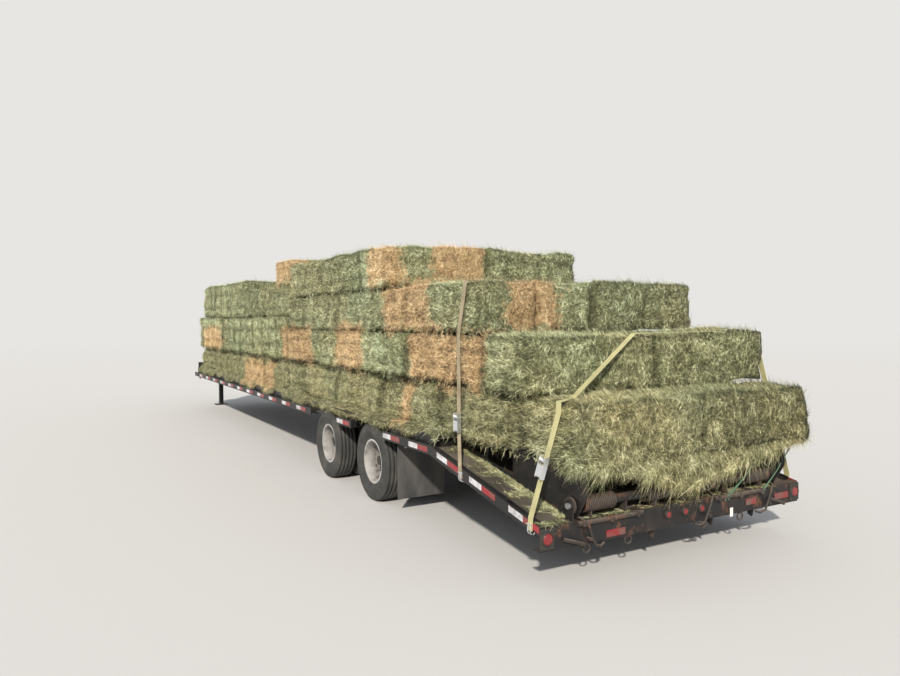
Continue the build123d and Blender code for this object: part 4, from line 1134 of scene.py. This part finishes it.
# %% Stalks on the steel
lying_loose = {"Length": 0.055, "Width": 0.0042, "Swirl": 9.0, "Stray": 6.0, "Tilt": 0.25, "Roll": 1.0}
hay_face = 1.165
tail_start, tail_end = 0.09, 1.5
tail_floor = 0.711             # height of the dovetail's floor at its front end
tail_run = at(tail_end, 0, tail_floor) - at(tail_start, 0, tail_floor - fall(tail_start))
for side, name in left_right:
    out = Vector((0, side, 0))
    deck_strip = patch("deck_strip", at(tail_end, side * hay_face, deck_top + 0.004), Vector((9.9, 0, 0)),
                       out * 0.085, 120, 1.0, 11 + side)
    add_blades(f"deck_edge_hay_{name}", deck_strip, 3500, 91 + side, lying_loose)
    heap = hay_host(recalculated(mesh_of(f"deck_heap_{name}", *edge_heap(side))), tint=0.3)
    piece(f"deck_heap_{name}", heap, bale_finish.material, smooth=True)
    add_blades(f"rail_hay_{name}", heap, heap_blades[side], 97 + side, hanging, Along=(0.3, 0.1, -1.0),
               Swirl=4.0, Stray=2.0, Tilt=0.5, Length=0.050)
    drift_start = at(tail_start, side * 1.0, tail_floor + 0.002 - fall(tail_start))
    drift = patch("drift", drift_start, tail_run, out * 0.055 + Vector((0, 0, -0.006)), 30, 0.25, 23)
    add_blades(f"dovetail_hay_{name}", drift, 3600, 103 + side, lying_loose, Along=(1.0, 0.1, 0.0),
               Swirl=2.0, Stray=1.6)
    litter = patch("litter", drift_start + out * 0.06, tail_run, out * 0.13, 30, 1.1, 37)
    add_blades(f"dovetail_litter_{name}", litter, 700, 107 + side, lying_loose)
bumper_strip = patch("bumper_strip", at(0.0, -1.25, 0.427), Vector((0, 2.5, 0)), Vector((0.11, 0, 0)), 50,
                     1.0, 29)
add_blades("bumper_hay", bumper_strip, 2600, 111, lying_loose)
ramp_strip = patch("ramp_strip", at(0.1, -0.95, 0.50), Vector((0, 1.9, 0)), Vector((0.5, 0, 0.1)), 30,
                   0.7, 31)
add_blades("ramp_hay", ramp_strip, 2600, 113, lying_loose)

# %% [markdown]
# Small hard pieces come next. A few helpers make their shapes: a box with chamfered edges, a profile spun
# round an axis, and a rod bent through points.


# %% Shapes of hard pieces
def joined(name, shapes):
    """One mesh of several (corners, faces) shapes, all turned outwards."""
    corners, faces = [], []
    for shape_corners, shape_faces in shapes:
        faces += [tuple(index + len(corners) for index in face) for face in shape_faces]
        corners += [tuple(corner) for corner in shape_corners]
    return recalculated(mesh_of(name, corners, faces))


def chamfered(low, high, chamfer):
    """A box between two corners, its edges cut at 45 degrees."""
    work = bmesh.new()
    bmesh.ops.create_cube(work, size=1.0)
    middle = (Vector(low) + Vector(high)) / 2
    size = [abs(b - a) for a, b in zip(low, high)]
    for corner in work.verts:
        corner.co = middle + Vector([c * s for c, s in zip(corner.co, size)])
    bmesh.ops.bevel(work, geom=list(work.edges), offset=chamfer, segments=1, affect="EDGES")
    work.verts.index_update()
    shape = ([tuple(v.co) for v in work.verts], [tuple(v.index for v in f.verts) for f in work.faces])
    work.free()
    return shape


def spun(profile, centre, axis, segments=48):
    """A closed profile of (along, radius) pairs, spun round an axis through centre."""
    corners, faces = [], []
    along = Vector([float(i == axis) for i in range(3)])
    first = Vector([float(i == (axis + 1) % 3) for i in range(3)])
    second = along.cross(first)
    count = len(profile)
    for i in range(segments):
        angle = 2 * math.pi * i / segments
        outward = first * math.cos(angle) + second * math.sin(angle)
        corners += [centre + along * a + outward * r for a, r in profile]
        start, after = i * count, (i + 1) % segments * count
        faces += [(start + j, start + (j + 1) % count, after + (j + 1) % count, after + j)
                  for j in range(count)]
    return corners, faces


def rod(points, radius, sides=10):
    """A round rod bent through points, closed at both ends."""
    points = [Vector(point) for point in points]
    rings, side = [], None
    for i, point in enumerate(points):
        way = (points[min(i + 1, len(points) - 1)] - points[max(i - 1, 0)]).normalized()
        side = way.orthogonal() if side is None else side - way * side.dot(way)
        side.normalize()
        other = way.cross(side)
        angles = [2 * math.pi * j / sides for j in range(sides)]
        rings.append([point + (side * math.cos(a) + other * math.sin(a)) * radius for a in angles])
    return lofted(rings)


def hard_piece(name, shapes, material, body="chassis"):
    """Makes one finished piece of several shapes."""
    return piece(name, joined(name, shapes), material, body)


def hidden_shape(name, shapes):
    """A shape that only the node trees use."""
    return bpy.data.objects.new(name, joined(name, shapes))


# %% [markdown]
# Bolts, nuts and strips of tape are the same piece again and again. Two node trees repeat a hidden shape,
# one along a row and one round a ring.

# %% Rows and rings
row_tree = geometry_tree("row", [("Count", "Int"), ("Start", "Vector"), ("Step", "Vector"),
                                 ("Shape", "Object"), ("Finish", "Material")])
ring_tree = geometry_tree("ring", [("Count", "Int"), ("Radius", "Float"), ("Turn", "Vector"),
                                   ("Centre", "Vector"), ("Shape", "Object"), ("Finish", "Material")])


def build_repeat(tree, make_points):
    """Puts a shape on every point, and makes the result real."""
    graph, given = Graph(tree), given_inputs(tree)
    shape = graph.node("GeometryNodeObjectInfo", None, {"Object": given["Shape"]}, output="Geometry")
    placed = graph.node("GeometryNodeInstanceOnPoints", None,
                        {"Points": make_points(graph, given), "Instance": shape})
    hand_over(graph, graph.node("GeometryNodeRealizeInstances", None, {"Geometry": placed}), given)


build_repeat(row_tree, lambda graph, given: graph.node(
    "GeometryNodeMeshLine", {"mode": "OFFSET"},
    {"Count": given["Count"], "Start Location": given["Start"], "Offset": given["Step"]}))
build_repeat(ring_tree, lambda graph, given: graph.node(
    "GeometryNodeTransform", None,
    {"Geometry": graph.node("GeometryNodeMeshCircle", None,
                            {"Vertices": given["Count"], "Radius": given["Radius"]}),
     "Translation": given["Centre"], "Rotation": given["Turn"]}))
nowhere = bpy.data.meshes.new("nowhere")


def row(name, shape, finish, count, start, step, body="chassis"):
    """Repeats a shape along a line."""
    return grow(name, nowhere, row_tree, {"Count": count, "Start": start, "Step": step, "Shape": shape,
                                          "Finish": finish}, body)


def ring(name, shape, finish, count, radius, turn, centre, body="chassis"):
    """Repeats a shape round a circle."""
    return grow(name, nowhere, ring_tree, {"Count": count, "Radius": radius, "Turn": turn,
                                           "Centre": centre, "Shape": shape, "Finish": finish}, body)


# %% [markdown]
# The rails carry strips of reflective tape, white in front and red behind, every 0.61 m. Tape is a thin
# piece of its own that stands proud of the paint. Dust dulls it, most of all on the bumper.

# %% Reflective tape
tape_dirt = (0.12, 0.10, 0.075)


def tape_finish(name, colour, dust):
    """Reflective tape: small cells under a clear face, dulled by dust."""
    finish = Finish(name, Roughness=0.35)
    cells = finish.node("ShaderNodeTexVoronoi", None, {"Vector": finish.place, "Scale": 260.0})
    soiled = finish.step(finish.noise(12.0, 5.0), 0.35, 0.75) * dust
    finish.set("Base Color", finish.mix(soiled, colour, tape_dirt))
    finish.bump(cells, 0.1, 0.0005)
    return finish.material


tape_white = tape_finish("tape_white", (0.70, 0.69, 0.71), 0.7)
tape_red = tape_finish("tape_red", (0.34, 0.010, 0.018), 0.75)
bumper_tape_red = tape_finish("bumper_tape_red", (0.24, 0.010, 0.016), 1.1)
tape_height = 0.044
tape_white_length = 0.17
tape_red_length = 0.18
tape_thick = 0.0012
tape_chamfer = 0.0003
tape_seam = 0.002              # between a white length and a red one
tape_pitch = 0.61
rail_tape_z = 0.69
deck_rows = ((4.99, 11), (3.60, 1), (2.41, 1), (1.88, 1))      # front end of the first strip, and how many
tail_rows = (1.37, 0.87, 0.355)


def tape_strip(name, length, tilt=0.0):
    """A strip of tape that ends at the origin, standing in the XZ plane."""
    low = (-length, -tape_thick / 2, -tape_height / 2)
    corners, faces = chamfered(low, (0, tape_thick / 2, tape_height / 2), tape_chamfer)
    return hidden_shape(name, [([Vector(c) + Vector((0, 0, c[0] * tilt)) for c in corners], faces)])


for colour, finish, length, offset in (("white", tape_white, tape_white_length, 0.0),
                                       ("red", tape_red, tape_red_length, tape_white_length)):
    level_strip = tape_strip(f"level_{colour}", length - tape_seam)
    tail_strip = tape_strip(f"tail_{colour}", length - tape_seam, dovetail_fall)
    for side, name in left_right:
        y = side * (rail_face + tape_thick / 2)
        for i, (front, count) in enumerate(deck_rows):
            row(f"tape_{colour}_{name}_{i}", level_strip, finish, count,
                at(front - offset, y, rail_tape_z), (tape_pitch, 0, 0))
        for i, front in enumerate(tail_rows):
            x = front - offset
            row(f"tail_tape_{colour}_{name}_{i}", tail_strip, finish, 1,
                at(x, y, rail_tape_z + 0.01 - fall(x)), (0, 0, 0))

bumper_tape = [chamfered(at(-tape_thick, y, z - 0.024), at(0.0, y + width, z + 0.024), tape_chamfer)
               for y, z, width in ((0.57, 0.30, 0.17), (-0.79, 0.33, 0.12), (-1.18, 0.33, 0.17))]
hard_piece("bumper_tape", bumper_tape, bumper_tape_red)

# %% [markdown]
# A trailer tyre has straight ribs with grooves between them, and a sidewall that bulges past the rim.
# That is a profile spun round the axle. Each wheel carries two tyres, and eight nuts hold both rims.

# %% Tyres and wheel nuts
half_profile = ((0.000, 0.380), (0.0165, 0.380), (0.0175, 0.3715), (0.0255, 0.3715), (0.0265, 0.3797),
                (0.0565, 0.3790), (0.0575, 0.3710), (0.0655, 0.3705), (0.0665, 0.3780), (0.086, 0.3758),
                (0.094, 0.3715), (0.0985, 0.3640), (0.1035, 0.3500), (0.1055, 0.3440), (0.1070, 0.3430),
                (0.1100, 0.3250), (0.1138, 0.3060), (0.1150, 0.2980), (0.1165, 0.2955), (0.1165, 0.2915),
                (0.1140, 0.2880), (0.1095, 0.2700), (0.0985, 0.2460), (0.0935, 0.2380), (0.0935, 0.2330),
                (0.0860, 0.2200), (0.0790, 0.2050), (0.0560, 0.2040))
tyre_profile = [(-a, r) for a, r in half_profile[:0:-1]] + list(half_profile)
tyre_centres = (0.875, 1.155)
tyre_segments = 96
wheel_radius = 0.38
nut_count, nut_circle, nut_face = 8, 0.0825, 1.0275
nut_across = 0.0165
nut_profile = [(0.0, 0.0), (0.0, nut_across), (0.017, nut_across), (0.021, nut_across * 0.8),
               (0.021, 0.008), (0.036, 0.008), (0.038, 0.006), (0.038, 0.0)]


def wheel_nut(side):
    """A nut that points outwards on its side, with the stud's end."""
    return hidden_shape("wheel_nut", [spun([(a * side, r) for a, r in nut_profile], Vector(), 1, 6)])


for end, x in axle_xs.items():
    for side, name in left_right:
        body = f"wheel_{end}_{name}"
        shapes = [spun(tyre_profile, at(x, side * y, wheel_radius), 1, tyre_segments) for y in tyre_centres]
        made = piece(f"tyres_{end}_{name}_grooved", joined("tyres", shapes), tyre_rubber.material, body,
                     smooth=True)
        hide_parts(f"tyres_{end}_{name}")
        ring(f"wheel_nuts_{end}_{name}", wheel_nut(side), zinc_steel.material, nut_count, nut_circle,
             (math.pi / 2, 0, 0), at(x, side * nut_face, wheel_radius), body)

# %% [markdown]
# Lamps sit in black rubber rings, and the outer pair in boxes at the ends of the bumper. A lens is not
# flat: rings of small steps break up the light. Each of these is a profile spun round the lamp's axis.

# %% Lamps
lamp_rubber = mottled("lamp_rubber", 30.0, (0.010, 0.010, 0.010), (0.05, 0.042, 0.033), Roughness=0.7)
amber = mottled("amber_lens", 60.0, (0.55, 0.16, 0.01), (0.75, 0.27, 0.03), Roughness=0.2, Coat_Weight=0.5)
outer_lamps_from = 1.0         # lamps further out than this have boxes
marker_x, marker_y, marker_z = 11.35, 1.246, 0.615
lamp_shapes, ring_shapes = [], []
for low, high in solids_of("tail_lights"):
    middle = Vector((low + high) / 2)
    radius = (high - low)[1] / 2
    face = Vector((low[0], middle.y, middle.z))
    steps = [(-0.002 - 0.001 * (i % 2) - 0.003 * (1 - i / 7), radius * i / 8) for i in range(7, 0, -1)]
    lamp_shapes.append(spun([(0.006, 0.0), (0.006, radius * 0.97), (0.0, radius * 0.97)] + steps
                            + [(-0.006, 0.0)], face, 0, 40))
    ring_shapes.append(spun([(0.016, radius + 0.001), (0.016, radius + 0.012), (0.003, radius + 0.011),
                             (-0.004, radius + 0.006), (-0.004, radius + 0.001)], face, 0, 40))
    if abs(middle.y) > outer_lamps_from:
        box_low = Vector((face.x + 0.004, middle.y - 0.055, middle.z - 0.072))
        ring_shapes.append(chamfered(box_low, box_low + Vector((0.012, 0.110, 0.140)), 0.004))
hard_piece("lamp_lenses", lamp_shapes, lamp_red.material)
hard_piece("lamp_rings", ring_shapes, lamp_rubber.material)
side_markers = [chamfered(at(marker_x - 0.045, side * (marker_y - 0.010), marker_z - 0.016),
                          at(marker_x + 0.045, side * (marker_y + 0.010), marker_z + 0.016), 0.006)
                for side, _ in left_right]
hard_piece("side_markers", side_markers, amber.material)

# %% [markdown]
# The ramps are lifted with the help of coil springs on their hinge tube. A spring is a spiral curve with
# a round section, which geometry nodes make from its turns, length and two radii.

# %% Ramp springs
spring_tree = geometry_tree("spring", [("Turns", "Float"), ("Radius", "Float"), ("Length", "Float"),
                                       ("Wire", "Float"), ("Centre", "Vector"), ("Finish", "Material")])


def build_spring(tree):
    """Bends a wire into a spiral along Y."""
    graph, given = Graph(tree), given_inputs(tree)
    spiral = graph.node("GeometryNodeCurveSpiral", None,
                        {"Resolution": 24, "Rotations": given["Turns"], "Start Radius": given["Radius"],
                         "End Radius": given["Radius"], "Height": given["Length"]})
    section = graph.node("GeometryNodeCurvePrimitiveCircle", None, {"Resolution": 8, "Radius": given["Wire"]})
    coil = graph.node("GeometryNodeCurveToMesh", None,
                      {"Curve": spiral, "Profile Curve": section, "Fill Caps": True})
    placed = graph.node("GeometryNodeTransform", None,
                        {"Geometry": coil, "Translation": given["Centre"],
                         "Rotation": (-math.pi / 2, 0.0, 0.0)})
    hand_over(graph, placed, given)


build_spring(spring_tree)
spring_steel = dusty_steel("spring_steel", (0.03, 0.024, 0.02), (0.16, 0.11, 0.075), 0.5, 0.45, 0.9)
hinge_x, hinge_z = 0.04, 0.52
for i, start in enumerate((-0.93, -0.37, 0.10, 0.66)):
    grow(f"ramp_spring_{i}", nowhere, spring_tree,
         {"Turns": 17.0, "Radius": 0.053, "Length": 0.27, "Wire": 0.0068,
          "Centre": at(hinge_x, start, hinge_z), "Finish": spring_steel})

# %% [markdown]
# The bumper of a working trailer collects small steel: bent handles, washers and pins at the hinge tube's
# ends, gussets under the tube, a clamped pipe along the top, short bent bars, and lugs with rings. All of
# it is worn, apart from the pins. A blank tag hangs among it.

# %% Handles, brackets and tag
bumper_face_low, bumper_face_top = 0.2665, 0.4275
handle_bends = ((0.03, 0.0, 0.45), (-0.02, 0.02, 0.435), (-0.035, 0.06, 0.39), (-0.030, 0.09, 0.31),
                (-0.032, 0.12, 0.255), (-0.02, 0.17, 0.235), (-0.01, 0.21, 0.25))
pipe_x, pipe_z = -0.016, 0.408
ring_wire, ring_radius = 0.006, 0.030
ring_section = [(ring_wire * math.cos(math.pi * i / 4), ring_radius + ring_wire * math.sin(math.pi * i / 4))
                for i in range(8)]

bent_rods = []
for y, side in ((0.98, -1), (-0.30, 1), (-0.98, 1)):
    bent_rods.append(rod([at(x, y + side * shift, z) for x, shift, z in handle_bends], 0.009))
    bent_rods.append(rod([at(-0.005, y + side * 0.07, 0.30), at(-0.045, y + side * 0.075, 0.30)], 0.012))
for side, _ in left_right:
    washer = [(0, 0.024), (0, 0.058), (0.012 * side, 0.058), (0.012 * side, 0.024)]
    bent_rods.append(spun(washer, at(hinge_x, side * 1.012, hinge_z), 1, 32))
hard_piece("ramp_handles", bent_rods, worn_steel)

brackets = []
for y in (0.86, 0.55, 0.27, -0.17, -0.47, -0.86):
    brackets.append(chamfered(at(0.010, y - 0.005, bumper_face_top - 0.004),
                              at(0.070, y + 0.005, 0.498), 0.0015))
for y_from, y_to in ((1.00, 0.43), (-0.30, -0.86)):
    brackets.append(rod([at(pipe_x, y_from, pipe_z), at(pipe_x, y_to, pipe_z)], 0.017, 12))
    for share in (0.08, 0.5, 0.92):
        y = y_from + (y_to - y_from) * share
        brackets.append(chamfered(at(pipe_x - 0.021, y - 0.012, pipe_z - 0.021),
                                  at(0.002, y + 0.012, pipe_z + 0.021), 0.002))
for y_from, y_to in ((1.12, 0.95), (-0.93, -1.10)):
    brackets.append(rod([at(-0.016, y_from, 0.325), at(-0.030, (y_from + y_to) / 2, 0.30),
                         at(-0.018, y_to, 0.268)], 0.013, 10))
for y in (0.90, 0.53, -0.22, -0.62):
    brackets.append(chamfered(at(0.012, y - 0.018, bumper_face_low - 0.022),
                              at(0.020, y + 0.018, bumper_face_low + 0.002), 0.0015))
    brackets.append(spun(ring_section, at(0.016, y, bumper_face_low - 0.040), 0, 24))
hard_piece("hinge_brackets", brackets, worn_steel)

pins = [rod([at(hinge_x, side * 1.015, hinge_z), at(hinge_x, side * 1.046, hinge_z)], 0.02, 20)
        for side, _ in left_right]
hard_piece("hinge_pins", pins, zinc_steel.material)
tag_finish = mottled("blank_tag", 40.0, (0.80, 0.80, 0.78), (0.62, 0.60, 0.55), Roughness=0.5)
tag = chamfered(at(-0.014, -0.508, 0.247), at(-0.011, -0.474, 0.315), 0.0012)
hard_piece("blank_tag", [tag], tag_finish.material)

# %% [markdown]
# A tool box on a farm trailer is shut by two hasps: a strip of steel that folds over the lid's edge and
# drops over a staple on the box. The strips ride on the lid, and the staples stay behind when it opens.

# %% Tool box hasps
lid_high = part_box("toolbox_lid")[1]
box_face = max(lid_high.x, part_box("toolbox")[1].x) + 0.001
hasp_half, hasp_thick = 0.018, 0.004
hasp_top = lid_high.z + hasp_thick
staple_bend = ((-0.003, -0.012), (0.012, -0.012), (0.016, -0.008), (0.016, 0.008), (0.012, 0.012),
               (-0.003, 0.012))
rivet = [(0.0, 0.0), (0.0, 0.006), (0.002, 0.006), (0.004, 0.003), (0.004, 0.0)]
hasps, staples = [], []
for y in (-0.22, 0.22):
    for back, low in ((lid_high.x - 0.06, lid_high.z), (box_face, lid_high.z - 0.080)):
        hasps.append(chamfered((back, y - hasp_half, low), (box_face + hasp_thick, y + hasp_half, hasp_top),
                               0.001))
    for dx in (-0.045, -0.020):
        hasps.append(spun(rivet, Vector((lid_high.x + dx, y, hasp_top)), 2, 12))
    bend = [(box_face + out, y + dy, lid_high.z - 0.055) for out, dy in staple_bend]
    staples.append(rod(bend, 0.003, 8))
hard_piece("toolbox_hasps", hasps, zinc_steel.material, "lid")
hard_piece("toolbox_staples", staples, zinc_steel.material)

# %% [markdown]
# Each strap ends in a hook that grips the rail: a wire bent double through the webbing's loop, with its
# two ends turned in under the steel. The wire is the same rod as before.

# %% Strap hooks
hook_wire, cross_wire = 0.0042, 0.0055
hook_bend = ((0.004, 0.035), (0.010, 0.0), (0.009, -0.020), (0.000, -0.034), (-0.014, -0.038),
             (-0.024, -0.030))             # out from the rail, and up
hooks = []
for node in ("strap_front", "strap_rear"):
    strap_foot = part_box(node)[0].z
    corners = [v.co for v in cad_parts[node].data.vertices]
    for side, _ in left_right:
        ends = [co.x for co in corners if co.y * side > 1.28 and co.z < strap_foot + 0.08]
        x = sum(ends) / len(ends)
        z = strap_foot + 0.012
        for dx in (-0.014, 0.014):
            hooks.append(rod([(x + dx, side * (rail_face + out), z + up) for out, up in hook_bend],
                             hook_wire, 8))
        hooks.append(rod([(x + dx, side * (rail_face + 0.006), z + 0.03) for dx in (-0.03, 0.03)],
                         cross_wire, 8))
hard_piece("strap_hooks", hooks, zinc_steel.material)

# %% [markdown]
# Two lengths of green baling twine are tied from the load to the bumper. They are pulled tight, so each
# is a thin straight rod with a knot, and they leave the hay where its skirt hangs.

# %% Baling twine
twine_finish = mottled("green_twine", 50.0, (0.05, 0.13, 0.075), (0.13, 0.24, 0.15), Roughness=0.7)
twine_runs = (((-0.02, -0.41, 0.40), (-0.07, -0.75, 0.70)), ((-0.02, -0.445, 0.40), (-0.10, -0.70, 0.72)),
              ((-0.02, -0.83, 0.40), (-0.07, -1.10, 0.72)), ((-0.02, -0.845, 0.40), (-0.09, -1.06, 0.73)))
twine = []
for low, high in twine_runs:
    a, b = at(*low), at(*high)
    middle = (a + b) / 2 + Vector((-0.006, 0, -0.012))
    twine.append(rod([a, (a + middle) / 2, middle, (middle + b) / 2, b], 0.0035, 6))
    knot = [a + Vector((-0.012, 0.01, -0.012)), a, a + Vector((-0.010, -0.012, 0.012))]
    twine.append(rod(knot, 0.007, 6))
hard_piece("baling_twine", twine, twine_finish.material)

# %% [markdown]
# Each leaf spring is clamped to its axle by two U-bolts. A U-bolt is a rod bent over the axle tube, with
# a plate above the spring and nuts on the plate. Bolts also hold the mud flaps to their hangers.

# %% U-bolts and flap bolts
spring_y = 0.60
plate_low, plate_top = 0.512, 0.524
u_half, u_top, axle_z, u_round = 0.036, 0.545, 0.38, 0.058
nut = [(0.0, 0.0), (0.0, 0.013), (0.012, 0.013), (0.012, 0.0)]
clamp_shapes = []
for x in axle_xs.values():
    for side, _ in left_right:
        y = side * spring_y
        clamp_shapes.append(chamfered(at(x - 0.065, y - 0.048, plate_low),
                                      at(x + 0.065, y + 0.048, plate_top), 0.002))
        bend = [(y - u_half, u_top), (y - u_half, axle_z)]
        bend += [(y - u_half * math.cos(math.pi * i / 8), axle_z - u_round * math.sin(math.pi * i / 8))
                 for i in range(1, 8)]
        bend += [(y + u_half, axle_z), (y + u_half, u_top)]
        for dx in (-0.045, 0.045):
            clamp_shapes.append(rod([at(x + dx, py, pz) for py, pz in bend], 0.0065, 8))
            for dy in (-u_half, u_half):
                clamp_shapes.append(spun(nut, at(x + dx, y + dy, plate_top), 2, 6))
hard_piece("axle_clamps", clamp_shapes, running_gear_paint)

bolt_head = [(0.0, 0.0), (0.0, 0.011), (-0.006, 0.011), (-0.008, 0.008), (-0.008, 0.0)]
bolt_shape = hidden_shape("flap_bolt", [spun(bolt_head, Vector(), 0, 6)])
for side, name in left_right:
    row(f"flap_bolts_{name}", bolt_shape, zinc_steel.material, 4, at(2.193, side * 1.17, 0.60),
        (0, side * -0.115, 0))
